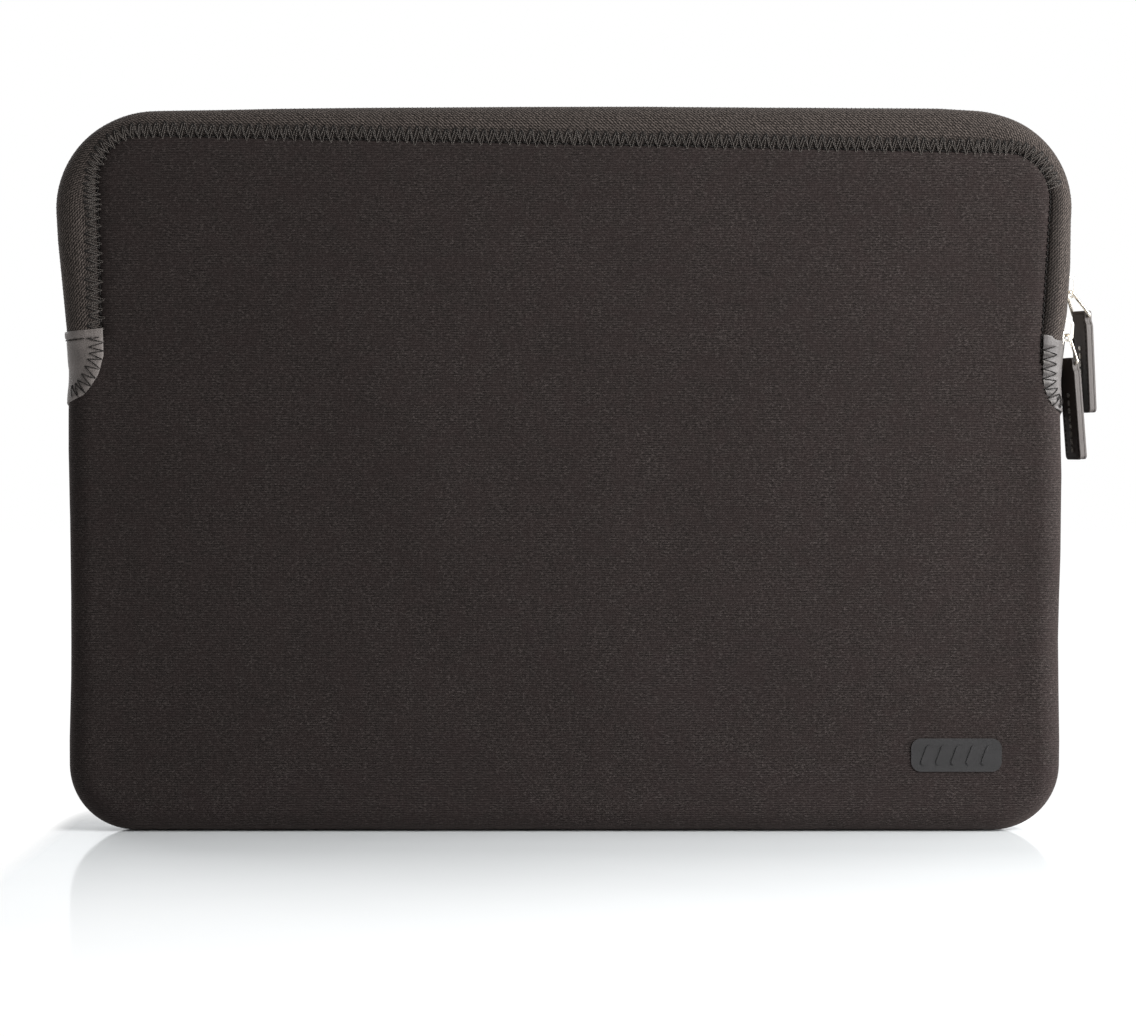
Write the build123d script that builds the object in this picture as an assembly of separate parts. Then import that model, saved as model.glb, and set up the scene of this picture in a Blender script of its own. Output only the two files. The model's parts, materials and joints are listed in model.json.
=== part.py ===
"""Zipped neoprene sleeve for a 13-inch laptop, as an assembly of separate solids in millimetres.

The sleeve stands on its long lower edge. +X runs along it to the sliders' end, +Y to its back and +Z up, and the
origin is on the floor under the middle of the lower seam. Two neoprene panels with a plush lining meet at a seam
on the plane y = 0. Round the top a woven band takes the zip, whose ends lie under two leather tabs. Both sliders
are parked at the right-hand end. Above a slanting fold line the zip parts, and each side of the mouth folds out.
"""

import os
from math import atan2, degrees, tan

from build123d import *

os.makedirs("parts", exist_ok=True)

# The outline, seen from the front: a polygon with rounded corners, wider at the top than at the bottom.
BOTTOM_HALF = 163.6
KNEE_HALF = 164.4
KNEE_Z = 148.0
TOP_HALF = 169.9
TOP_Z = 239.5
BOTTOM_R = 25.0
KNEE_R = 60.0
TOP_R = 35.0

# Thickness and layers. A depth is measured inwards from the outer surface.
HALF_THICK = 12.2
EDGE_R = 8.2
TAB_DEPTH = 0.9
TAPE_TOP = 2.6
SHELL_DEPTH = 3.2
LINING_DEPTH = 4.4

# The zip, which runs round the top in a groove between the two halves of the band.
GROOVE_HALF = 5.2
TAPE_HALF = 9.0
COIL_HALF = 3.1
COIL_GAP_HALF = 0.65
COIL_TOP = 0.3
LINING_GAP_HALF = 5.5
ZIP_END_RIGHT = 155.7
ZIP_END_LEFT = 163.5
COIL_START_RIGHT = 157.6
STOP_LENGTH = 1.8
STOP_HALF = 3.3
GUARD_OUT = 5.6
GUARD_IN = 6.6
GUARD_BACK = 4.0

# The end tabs, seen from the front: a square top and a curved lower edge.
LEFT_TAB = {"top": 165.7, "edge": -152.6, "turn": 157.0, "mid": (-157.0, 147.4), "toe": (-164.6, 140.2)}
RIGHT_TAB = {"top": 163.7, "edge": 158.1, "turn": 149.0, "mid": (159.5, 144.2), "toe": (165.6, 136.6)}
TAB_NOTCH_Z = 154.8

# The fold line of the mouth, from the left-hand tab to above the sliders' travel, on the front face.
FOLD_LEFT = (-165.0, 166.9)
FOLD_RIGHT = (167.0, 203.9)
FOLD_GAP = 0.3
FOLD_ANGLE = atan2(FOLD_RIGHT[1] - FOLD_LEFT[1], FOLD_RIGHT[0] - FOLD_LEFT[0])
FOLD_MIDDLE_Z = FOLD_LEFT[1] - FOLD_LEFT[0] * tan(FOLD_ANGLE)

# Where the panels end and the band starts, as the corners of a rounded four-sided shape.
FRONT_PANEL_CORNERS = [(-151.7, 100.0), (154.4, 100.0), (161.9, 224.7), (-154.5, 231.0)]
BACK_PANEL_CORNERS = [(-154.0, 100.0), (154.0, 100.0), (158.6, 229.0), (-158.6, 229.0)]
PANEL_CORNER_R = 16.0

# The sliders and their pulls.
SIDE_LEAN = atan2(TOP_HALF - KNEE_HALF, TOP_Z - KNEE_Z)
SLIDER_UPPER_Z = 181.0
SLIDER_LOWER_Z = 166.6
SLIDER_LENGTH = 13.0
SLIDER_CORNER_R = 1.6
SLIDER_NOSE_HALF = 4.6
SLIDER_TAIL_HALF = 3.9
PLATE_THICK = 1.0
PLATE_CLEARANCE = 0.3
FLANGE_THICK = 0.85
POST_HALF = 0.35
POST_LENGTH = 3.4
BRIDGE_HALF_WIDTH = 0.8
BRIDGE_HALF_LENGTH = 3.8
BRIDGE_HEIGHT = 3.5
BRIDGE_WALL = 0.8
BRIDGE_CORNER_R = 2.0
WIRE_R = 0.55
PIVOT_Z = -1.65
PIVOT_OUT = 1.28
LINK_DROP = 9.5
LINK_TOP_HALF = 1.75
LINK_FOOT_HALF = 5.75
PULL_HALF_WIDTH = 5.0
PULL_NECK_HALF = 4.2
PULL_THICK = 2.6
PULL_ABOVE_BAR = 1.9
PULL_NECK_DROP = 1.5
PULL_LENGTH = 34.0
PULL_TUNNEL_R = 0.62
STUD_R = 0.75
STUD_HEIGHT = 0.25
DASH = (0.9, 1.8)
DASH_COUNT = 7
DASH_PITCH = 2.6
PULL_TWIST = 22.0
LINK_LEAN = {"upper": 31.0, "lower": 7.0}
PULL_LEAN = {"upper": 3.0, "lower": 5.0}

# The moulded rubber badge on the front.
BADGE_CENTRE = (130.0, 25.6)
BADGE_SIZE = (30.0, 11.0)
BADGE_THICK = 0.9
BADGE_BAR_PITCH = 5.0

REACH = 400.0


def outline(inset):
    """The sleeve's outline on the plane y = 0, moved inwards."""
    corners = [
        (-BOTTOM_HALF, 0),
        (BOTTOM_HALF, 0),
        (KNEE_HALF, KNEE_Z),
        (TOP_HALF, TOP_Z),
        (-TOP_HALF, TOP_Z),
        (-KNEE_HALF, KNEE_Z),
    ]
    radii = [BOTTOM_R, BOTTOM_R, KNEE_R, TOP_R, TOP_R, KNEE_R]
    face = make_face(Plane.XZ * FilletPolyline(*corners, radius=radii, close=True))
    return offset(face, -inset) if inset else face


def slab(inset):
    """The whole sleeve as one rounded solid, moved inwards. Every layer lies between two of these."""
    block = extrude(outline(inset), HALF_THICK - inset, both=True)
    faces = block.faces().sort_by(Axis.Y)
    return fillet(faces[0].edges() + faces[-1].edges(), EDGE_R - inset)


def prism(face):
    """A front-view shape run through the whole thickness."""
    return extrude(face, REACH, both=True)


def between(low, high):
    """Everything between two values of y."""
    return Pos(0, (low + high) / 2, 0) * Box(2 * REACH, high - low, 2 * REACH)


def above(z, low_x=-REACH, high_x=REACH):
    """Everything above a height, between two values of x."""
    size = (high_x - low_x, 2 * REACH, REACH)
    return Pos((low_x + high_x) / 2, 0, z) * Box(*size, align=(Align.CENTER, Align.CENTER, Align.MIN))


def above_fold(gap):
    """Everything above the fold line of the mouth, starting a gap above it."""
    lean = Location((0, 0, FOLD_MIDDLE_Z), (0, -degrees(FOLD_ANGLE), 0))
    return lean * Pos(0, 0, gap) * Box(2 * REACH, REACH, REACH, align=(Align.CENTER, Align.CENTER, Align.MIN))


def panel_zone(corners):
    """The front-view shape of a panel above the zip's ends, with its rounded top corners."""
    return prism(make_face(Plane.XZ * FilletPolyline(*corners, radius=PANEL_CORNER_R, close=True)))


def tab_zone(tab, side):
    """The front-view shape of an end tab, from its panel edge out past the sleeve's side."""
    edge = tab["edge"]
    outside = (side * REACH, tab["top"])
    lower_outside = (side * REACH, tab["toe"][1])
    lines = (
        Line((edge, tab["turn"]), (edge, tab["top"]))
        + Line((edge, tab["top"]), outside)
        + Line(outside, lower_outside)
        + Line(lower_outside, tab["toe"])
        + ThreePointArc(tab["toe"], tab["mid"], (edge, tab["turn"]))
    )
    return prism(make_face(Plane.XZ * lines))


def save(shape, name):
    """Writes one sub-part as one or more solids."""
    solids = [solid for solid in shape.solids() if solid.volume > 0.01]
    export_step(Compound(children=solids) if len(solids) > 1 else solids[0], f"parts/{name}.step")
    print(name, len(solids), round(sum(solid.volume for solid in solids), 1))


OUTER = slab(0)
UNDER_TAB = slab(TAB_DEPTH)
UNDER_BAND = slab(TAPE_TOP)
UNDER_SHELL = slab(SHELL_DEPTH)
CAVITY = slab(LINING_DEPTH)
FRONT_HALF = between(-REACH, 0)
BACK_HALF = between(0, REACH)
GROOVE = between(-GROOVE_HALF, GROOVE_HALF)
ABOVE_FOLD = above_fold(0)
MOUTH = above_fold(FOLD_GAP)
ZIP_SPAN = ABOVE_FOLD + above(ZIP_END_RIGHT, low_x=0)
LEFT_TAB_ZONE = tab_zone(LEFT_TAB, -1)
RIGHT_TAB_ZONE = tab_zone(RIGHT_TAB, 1)
TAB_LAYER = OUTER - UNDER_TAB
COIL_GAP = between(-COIL_GAP_HALF, COIL_GAP_HALF)
LINING_GAP = between(-LINING_GAP_HALF, LINING_GAP_HALF)
OUTER_PLATE = PLATE_CLEARANCE - COIL_TOP
INNER_PLATE = -SHELL_DEPTH - PLATE_CLEARANCE


def band_zone(corners):
    """The stretch round the top outside a panel, where the band and the zip are."""
    return ZIP_SPAN - panel_zone(corners)


def tabs():
    """The two leather tabs, let into the outer surface. The right-hand one is notched for the slider."""
    notch = GROOVE & above(TAB_NOTCH_Z)
    return TAB_LAYER & LEFT_TAB_ZONE, (TAB_LAYER & RIGHT_TAB_ZONE) - notch


def half_sleeve(side, half, corners, low, high):
    """The layers of the front or the back half, each cut in two where the mouth folds out."""
    zone = band_zone(corners)
    shell = (OUTER - UNDER_SHELL - (TAB_LAYER & (LEFT_TAB_ZONE + RIGHT_TAB_ZONE))) & half
    stop_pocket = GROOVE & above(ZIP_END_LEFT, high_x=0)
    tape = (UNDER_BAND - UNDER_SHELL) & zone & between(-TAPE_HALF, TAPE_HALF)
    coil = prism(outline(COIL_TOP) - outline(TAPE_TOP)) & ZIP_SPAN & above(COIL_START_RIGHT)
    layers = {
        f"{side}_panel": shell - zone - (GROOVE & ZIP_SPAN) - stop_pocket,
        f"zip_band_{side}": (shell & zone) - GROOVE - tape,
        f"zip_tape_{side}": tape & between(low * TAPE_HALF, high * TAPE_HALF) - COIL_GAP,
        f"zip_coil_{side}": coil & between(low * COIL_HALF, high * COIL_HALF) - COIL_GAP,
        f"{side}_lining": ((UNDER_SHELL - CAVITY) & half) - (LINING_GAP & ZIP_SPAN),
    }
    for name, layer in layers.items():
        save(layer - ABOVE_FOLD, name)
        save(layer & MOUTH, f"{name}_mouth")


def stops():
    """The metal stops at the coil's two ends. The left-hand one lies under its tab."""
    right = prism(outline(COIL_TOP) - outline(TAPE_TOP)) & between(-STOP_HALF, STOP_HALF)
    right = right & above(COIL_START_RIGHT - STOP_LENGTH, low_x=0) - above(COIL_START_RIGHT)
    left = prism(outline(TAB_DEPTH) - outline(TAPE_TOP)) & between(-STOP_HALF, STOP_HALF)
    left = left & above(ZIP_END_LEFT, high_x=0) - above(ZIP_END_LEFT + STOP_LENGTH)
    return left, right


def guard():
    """The strip inside the zip that keeps the teeth off the laptop. It is sewn to the front lining."""
    strip = prism(outline(GUARD_OUT) - outline(GUARD_IN)) & CAVITY & MOUTH
    return strip & between(-HALF_THICK, GUARD_BACK)


def badge():
    """A rounded plate with a few slanting bars standing on it."""
    x, z = BADGE_CENTRE
    width, height = BADGE_SIZE
    face = Plane((x, -HALF_THICK, z), x_dir=(1, 0, 0), z_dir=(0, -1, 0))
    plate = extrude(face * RectangleRounded(width, height, height * 0.3), BADGE_THICK * 0.55)
    top = face.offset(BADGE_THICK * 0.55)
    for step in (-2, -1, 0, 1, 2):
        bar = Pos(step * BADGE_BAR_PITCH, 0) * Rot(0, 0, -20) * SlotOverall(height * 0.62, 1.9, rotation=90)
        plate += extrude(top * bar, BADGE_THICK * 0.45)
    return plate


def side_frame(z):
    """A frame on the sleeve's right-hand side at a height: x outwards, z along the zip, y as in the whole."""
    x = KNEE_HALF + (z - KNEE_Z) * tan(SIDE_LEAN)
    return Location((x, 0, z), (0, degrees(SIDE_LEAN), 0))


def slider(nose_up):
    """A slider round the coil: two plates, two flanges, the post at its nose and the bridge for the link."""
    half = SLIDER_LENGTH / 2
    corners = [
        (-SLIDER_TAIL_HALF, -half),
        (SLIDER_TAIL_HALF, -half),
        (SLIDER_NOSE_HALF, half),
        (-SLIDER_NOSE_HALF, half),
    ]
    planform = make_face(Plane.YZ * FilletPolyline(*corners, radius=SLIDER_CORNER_R, close=True))
    outer = extrude(Pos(OUTER_PLATE, 0, 0) * planform, PLATE_THICK)
    outer = fillet(outer.faces().sort_by(Axis.X)[-1].edges(), 0.4)
    inner = extrude(Pos(INNER_PLATE - PLATE_THICK, 0, 0) * planform, PLATE_THICK)
    flange_foot = PLATE_CLEARANCE - TAPE_TOP
    channel = 2 * (COIL_HALF + PLATE_CLEARANCE)
    rim = extrude(Pos(flange_foot, 0, 0) * planform, OUTER_PLATE - flange_foot)
    flanges = (rim - Box(20, channel, 30)) & Box(20, channel + 2 * FLANGE_THICK, SLIDER_LENGTH - 1)
    post = Pos((OUTER_PLATE + INNER_PLATE) / 2, 0, half - POST_LENGTH / 2 - 0.8)
    post = post * Box(OUTER_PLATE - INNER_PLATE, 2 * POST_HALF, POST_LENGTH)
    body = outer + inner + flanges + post
    if not nose_up:
        body = Rot(180, 0, 0) * body
    return body + bridge(OUTER_PLATE + PLATE_THICK)


def bridge(base):
    """The arch on a slider's outer plate, under which the link's short bar lies."""
    profile = RectangleRounded(2 * BRIDGE_HEIGHT, 2 * BRIDGE_HALF_LENGTH, BRIDGE_CORNER_R)
    hole = RectangleRounded(
        2 * (BRIDGE_HEIGHT - BRIDGE_WALL),
        2 * (BRIDGE_HALF_LENGTH - BRIDGE_WALL),
        BRIDGE_CORNER_R - BRIDGE_WALL,
    )
    face = Plane((base, 0, 0), x_dir=(1, 0, 0), z_dir=(0, -1, 0)) * (profile - hole)
    arch = extrude(face, BRIDGE_HALF_WIDTH, both=True)
    return arch & Pos(base, 0, 0) * Box(20, 20, 20, align=(Align.MIN, Align.CENTER, Align.CENTER))


def link():
    """The wire ring between bridge and pull, with its short bar on the origin and its long bar below."""
    corners = [
        (-LINK_TOP_HALF, 0),
        (LINK_TOP_HALF, 0),
        (LINK_FOOT_HALF, -LINK_DROP),
        (-LINK_FOOT_HALF, -LINK_DROP),
    ]
    path = Plane.YZ * FilletPolyline(*corners, radius=0.9, close=True)
    start = Plane(origin=path @ 0, z_dir=path % 0)
    return sweep(start * Circle(WIRE_R), path=path)


def pull():
    """The leather pull, with the link's long bar on the origin, and the row of metal studs on each face."""
    foot = PULL_ABOVE_BAR - PULL_LENGTH
    corners = [
        (-PULL_NECK_HALF, PULL_ABOVE_BAR),
        (PULL_NECK_HALF, PULL_ABOVE_BAR),
        (PULL_NECK_HALF, -PULL_NECK_DROP),
        (PULL_HALF_WIDTH, -PULL_NECK_DROP - 1.4),
        (PULL_HALF_WIDTH, foot),
        (-PULL_HALF_WIDTH, foot),
        (-PULL_HALF_WIDTH, -PULL_NECK_DROP - 1.4),
        (-PULL_NECK_HALF, -PULL_NECK_DROP),
    ]
    radii = [0.8, 0.8, 0.5, 0.5, 1.4, 1.4, 0.5, 0.5]
    face = make_face(Plane.YZ * FilletPolyline(*corners, radius=radii, close=True))
    strap = extrude(face, PULL_THICK / 2, both=True)
    strap = chamfer(
        strap.faces().sort_by(Axis.X)[0].edges() + strap.faces().sort_by(Axis.X)[-1].edges(), 0.35
    )
    strap -= Rot(90, 0, 0) * Cylinder(PULL_TUNNEL_R, 4 * PULL_HALF_WIDTH)
    return strap, studs()


def studs():
    """One round stud and a row of short dashes, on both faces of a pull."""
    made = []
    for side in (-1, 1):
        face = Plane((side * PULL_THICK / 2, 0, 0), x_dir=(0, side, 0), z_dir=(side, 0, 0))
        made.append(extrude(face * Pos(0, -10.5) * Circle(STUD_R), STUD_HEIGHT))
        for step in range(DASH_COUNT):
            dash = Pos(0, -13.1 - step * DASH_PITCH) * RectangleRounded(*DASH, 0.3)
            made.append(extrude(face * dash, STUD_HEIGHT))
    return Compound(children=[solid for piece in made for solid in piece.solids()])


def hung_from(point, lean):
    """The frame of something that hangs from a point, turned a little to the front and leaning outwards."""
    return Location(tuple(point), (0, 0, PULL_TWIST)) * Location((0, 0, 0), (0, -lean, 0))


def zip_runner(name, z, nose_up):
    """One slider with its link and pull, hanging as they come to rest at the sleeve's side."""
    frame = side_frame(z)
    save(frame * slider(nose_up), f"slider_{name}")
    pivot = (frame * Location((OUTER_PLATE + PLATE_THICK + PIVOT_OUT, 0, PIVOT_Z))).position
    hang = hung_from(pivot, LINK_LEAN[name])
    save(hang * link(), f"link_{name}")
    bar = (hang * Location((0, 0, -LINK_DROP))).position
    drop = hung_from(bar, PULL_LEAN[name])
    strap, inlay = pull()
    save(drop * strap, f"pull_{name}")
    save(drop * inlay, f"pull_studs_{name}")
    for label, point in (("pivot", pivot), ("bar", bar)):
        print(name, label, [round(value, 3) for value in point])

tab_left, tab_right = tabs()
save(tab_left, "end_tab_left")
save(tab_right, "end_tab_right")
half_sleeve("front", FRONT_HALF, FRONT_PANEL_CORNERS, -1, 0)
half_sleeve("back", BACK_HALF, BACK_PANEL_CORNERS, 0, 1)
stop_left, stop_right = stops()
save(stop_left, "zip_stop_left")
save(stop_right, "zip_stop_right")
save(guard(), "zip_guard")
save(badge(), "badge")
zip_runner("upper", SLIDER_UPPER_Z, False)
zip_runner("lower", SLIDER_LOWER_Z, True)
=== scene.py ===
"""The visual model of a zipped neoprene laptop sleeve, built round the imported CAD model.

Shapes are worked out in millimetres and written to the meshes in metres. The cloth parts lie on a "skin". It is
measured by s, the distance round the outline from the middle of the lower edge, and t, the distance round the
edge from the seam at y = 0 towards the front or the back. A lift is the height above that skin.
"""

import json
import math

import bmesh
import bpy
import numpy as np
from mathutils import Matrix, Vector, noise
from mathutils.geometry import delaunay_2d_cdt


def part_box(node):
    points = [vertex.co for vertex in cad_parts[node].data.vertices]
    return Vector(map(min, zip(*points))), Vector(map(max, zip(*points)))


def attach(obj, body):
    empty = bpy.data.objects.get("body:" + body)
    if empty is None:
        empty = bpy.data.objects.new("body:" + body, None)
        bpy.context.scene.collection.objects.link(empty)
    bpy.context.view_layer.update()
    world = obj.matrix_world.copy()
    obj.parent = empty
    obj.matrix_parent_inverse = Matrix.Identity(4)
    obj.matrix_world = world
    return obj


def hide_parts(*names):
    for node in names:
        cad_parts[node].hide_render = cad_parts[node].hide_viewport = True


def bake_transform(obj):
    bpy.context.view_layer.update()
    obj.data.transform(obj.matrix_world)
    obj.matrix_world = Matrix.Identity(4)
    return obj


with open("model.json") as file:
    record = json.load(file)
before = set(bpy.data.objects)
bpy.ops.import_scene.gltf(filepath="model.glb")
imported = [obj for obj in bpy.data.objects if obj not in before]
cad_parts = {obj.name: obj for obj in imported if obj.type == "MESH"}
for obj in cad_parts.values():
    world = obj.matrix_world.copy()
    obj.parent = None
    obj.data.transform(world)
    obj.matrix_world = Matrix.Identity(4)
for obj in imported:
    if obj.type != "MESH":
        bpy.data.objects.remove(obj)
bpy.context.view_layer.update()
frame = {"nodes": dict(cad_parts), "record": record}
MM = 0.001

# The sleeve's outline and layers, in millimetres: the CAD model's, with slightly tighter corners.
BOTTOM_HALF, KNEE_HALF, KNEE_Z = 163.6, 164.4, 148.0
TOP_HALF, TOP_Z = 169.9, 239.5
BOTTOM_R, KNEE_R, TOP_R = 22.0, 60.0, 32.0
HALF_THICK = -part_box("front_panel")[0].y / MM
EDGE_R = 8.2
FLAT = HALF_THICK - EDGE_R
FACE_T = FLAT + EDGE_R * math.pi / 2
SHELL = 3.2
GROOVE, COIL_OUT = 5.2, 3.0
FOLD_LEFT, FOLD_RIGHT = (-165.0, 166.9), (167.0, 203.9)
FRONT_EDGE = [(-151.7, 100.0), (154.4, 100.0), (161.9, 224.7), (-154.5, 231.0)]
BACK_EDGE = [(-154.0, 100.0), (154.0, 100.0), (158.6, 229.0), (-158.6, 229.0)]
EDGE_CORNER_R = 15.0
FRONT, BACK = -1, 1
WORDS = {FRONT: "front", BACK: "back"}
BADGE_CENTRE, BADGE_HALF, BADGE_MARGIN = (130.0, 25.6), (15.0, 5.5), 5.0


def spread(*values):
    """Arrays of numbers, spread to one shape."""
    return np.broadcast_arrays(*(np.asarray(v, float) for v in values))


def smooth(x):
    """A smooth step from 0 to 1."""
    x = np.clip(x, 0, 1)
    return x * x * (3 - 2 * x)


def rounded(corners, radii, step=0.4):
    """Points along a polygon with rounded corners, closed, starting in the middle of its first side."""
    pts = [np.array(c, float) for c in corners]
    count = len(pts)
    line = [(pts[0] + pts[1]) / 2]
    for k in range(1, count + 1):
        here, before, after = pts[k % count], pts[k - 1], pts[(k + 1) % count]
        u = (before - here) / np.linalg.norm(before - here)
        v = (after - here) / np.linalg.norm(after - here)
        half = math.acos(np.clip(u @ v, -1, 1)) / 2
        radius = radii[k % count]
        centre = here + (u + v) / np.linalg.norm(u + v) * radius / math.sin(half)
        start = here + u * radius / math.tan(half)
        end = here + v * radius / math.tan(half)
        a0 = math.atan2(*(start - centre)[::-1])
        turn = (math.atan2(*(end - centre)[::-1]) - a0 + math.pi) % (2 * math.pi) - math.pi
        n = max(2, int(abs(turn) * radius / step))
        for a in a0 + turn * np.linspace(0, 1, n + 1):
            line.append(centre + radius * np.array([math.cos(a), math.sin(a)]))
    line.append(line[0])
    return np.array(line)


def run_along(line):
    """The distance along a line at each of its points."""
    return np.concatenate([[0], np.cumsum(np.linalg.norm(np.diff(line, axis=0), axis=1))])


def evenly(line, n):
    """A closed line resampled at n even steps, and its length."""
    run = run_along(line)
    at = np.linspace(0, run[-1], n + 1)[:-1]
    return np.stack([np.interp(at, run, line[:, k]) for k in (0, 1)], 1), run[-1]


CORNERS = [(BOTTOM_HALF, 0), (KNEE_HALF, KNEE_Z), (TOP_HALF, TOP_Z)]
CORNERS = [(-BOTTOM_HALF, 0)] + CORNERS + [(-TOP_HALF, TOP_Z), (-KNEE_HALF, KNEE_Z)]
OUTLINE = rounded(CORNERS, [BOTTOM_R, BOTTOM_R, KNEE_R, TOP_R, TOP_R, KNEE_R])
# How much further out than the plain outline the stuffed cloth lies: (height, millimetres) for the right and
# the left, and (x, millimetres) for the top.
OUT_RIGHT = [(0, 1.2), (30, 1.4), (48, 0.9), (64, 0.6), (78, 0.8), (92, 1.2), (118, 1.5), (136, 0.9)]
OUT_RIGHT += [(150, 0.3), (163, 0.4), (172, 1.3), (188, 1.4), (203, 0.7), (240, 0.6)]
OUT_LEFT = [(0, 0.8), (30, 0.8), (50, 0.3), (78, 0.0), (104, 0.1), (126, 0.6), (141, 0.4)]
OUT_LEFT += [(153, -0.7), (166, -0.4), (182, 0.2), (196, 0.7), (240, 0.5)]
OUT_TOP = [(-150, -0.9), (-133, -0.35), (-113, -0.1), (-94, 0.35), (-74, 0.58), (-54, 0.78), (-14, 0.95)]
OUT_TOP += [(25, 1.03), (65, 0.75), (105, 0.58), (124, 0.4), (144, -0.8)]


def read_off(table, at):
    """A value read off a list of pairs."""
    return np.interp(at, [pair[0] for pair in table], [pair[1] for pair in table])


COARSE, FINE = 2200, 4400
OUTLINE = evenly(OUTLINE, COARSE)[0]
OUTLINE = np.concatenate([OUTLINE, OUTLINE[:1]])
_x, _z = OUTLINE[:, 0].copy(), OUTLINE[:, 1].copy()
_wide = smooth((np.abs(_x) - 100) / 55)
OUTLINE[:, 0] += _wide * np.where(_x > 0, read_off(OUT_RIGHT, _z), -read_off(OUT_LEFT, _z))
OUTLINE[:, 1] += smooth((_z - 170) / 55) * read_off(OUT_TOP, _x)
POINTS, LENGTH = evenly(OUTLINE, FINE)
_tangent = np.roll(POINTS, -1, 0) - np.roll(POINTS, 1, 0)
_tangent /= np.linalg.norm(_tangent, axis=1)[:, None]
_kernel = np.ones(9) / 9
for _axis in (0, 1):
    _tangent[:, _axis] = np.convolve(np.pad(_tangent[:, _axis], 4, mode="wrap"), _kernel, "valid")
INWARD = np.stack([-_tangent[:, 1], _tangent[:, 0]], 1)


def periodic(table, s):
    """A table kept at the outline's even steps, read at distance s."""
    at = (np.asarray(s, float) % LENGTH) / LENGTH * FINE
    low = np.floor(at).astype(int) % FINE
    part = at - np.floor(at)
    high = (low + 1) % FINE
    if table.ndim == 2:
        part = part[..., None]
    return table[low] * (1 - part) + table[high] * part


def s_at(side, z):
    """The distance round the outline where it passes a height on the right (1) or the left (-1)."""
    half = FINE // 2
    rows = np.arange(half) if side > 0 else np.arange(half, FINE)
    rows = rows[np.argsort(POINTS[rows, 1])]
    return float(np.interp(z, POINTS[rows, 1], rows * LENGTH / FINE))


def over_top(right, left):
    """Where a stretch over the top starts, at a height on the right, and ends, at a height on the left."""
    return s_at(1, right), s_at(-1, left)


def t_of_depth(d):
    """The distance round the edge at which the skin lies d inside the outline."""
    a = np.arccos(np.clip(1 - np.asarray(d) / EDGE_R, -1, 1))
    return np.where(np.asarray(d) < EDGE_R, FLAT + EDGE_R * a, FACE_T + np.asarray(d) - EDGE_R)


def edge_table(corners, sag):
    """How far round the edge the panel starts, at each step of the outline."""
    line = rounded(corners, [EDGE_CORNER_R] * 4)
    on_top = line[:, 1] > 215
    line[on_top, 1] -= sag * np.sin(np.pi * np.clip((line[on_top, 0] + 140) / 230, 0, 1))
    a, b = line[:-1], line[1:]
    seg = b - a
    cross = lambda p, q: p[..., 0] * q[..., 1] - p[..., 1] * q[..., 0]
    gap = a[None] - POINTS[:, None]
    base = cross(INWARD[:, None], seg[None])
    base[np.abs(base) < 1e-9] = 1e-9
    depth = cross(gap, seg[None]) / base
    along = cross(gap, INWARD[:, None]) / base
    depth[(along < 0) | (along > 1) | (depth < 0)] = 60
    found = np.minimum(depth.min(1), 40)
    found = np.convolve(np.pad(found, 12, mode="wrap"), np.ones(25) / 25, "valid")
    return t_of_depth(found)


EDGE_T = {FRONT: edge_table(FRONT_EDGE, 1.2), BACK: edge_table(BACK_EDGE, 0.0)}
S_RIGHT, S_LEFT = over_top(152.0, 160.0)
TOP_MIDDLE = LENGTH / 2


def set_out(s):
    """How far out the cloth lies beside the sliders, so that the zip can stay on the CAD model's outline."""
    at = periodic(POINTS, s)
    x, z = at[..., 0], at[..., 1]
    return smooth((x - 100) / 55) * (1 - smooth((z - 205) / 15)) * read_off(OUT_RIGHT, z)


def on_zip(s):
    """1 along the stretch with the zip, 0 below it, with a short change under the end tabs."""
    s = np.asarray(s, float) % LENGTH
    return smooth((s - S_RIGHT) / 5 + 0.5) * smooth((S_LEFT - s) / 5 + 0.5)


def panel_start(side, s):
    """Where the panel starts round the edge: at its stitched edge along the zip, and at the seam below it."""
    return periodic(EDGE_T[side], s) * on_zip(s)


def wobble(x, z, side, size, seed):
    """Smooth noise from -1 to 1 over the front or the back."""
    x, z = spread(x, z)
    layer = side * 3.7 + seed
    flat = [noise.noise(Vector((a / size, b / size, layer))) for a, b in zip(x.ravel(), z.ravel())]
    return np.array(flat).reshape(x.shape)


def grid_faces(rows, columns, closed=False, flip=False, start=0):
    """Quads over a grid of rows by columns. Columns run along s."""
    faces = []
    last = columns if closed else columns - 1
    for j in range(rows - 1):
        for i in range(last):
            k = (i + 1) % columns
            quad = (j * columns + i, j * columns + k, (j + 1) * columns + k, (j + 1) * columns + i)
            quad = tuple(q + start for q in quad)
            faces.append(quad[::-1] if flip else quad)
    return faces


SETTLE_X, SETTLE_Z = np.linspace(-156, 156, 53), np.linspace(9, 231, 38)
SETTLE_FRAMES, FINER, HELD_BORDER = 16, 4, 7


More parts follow.
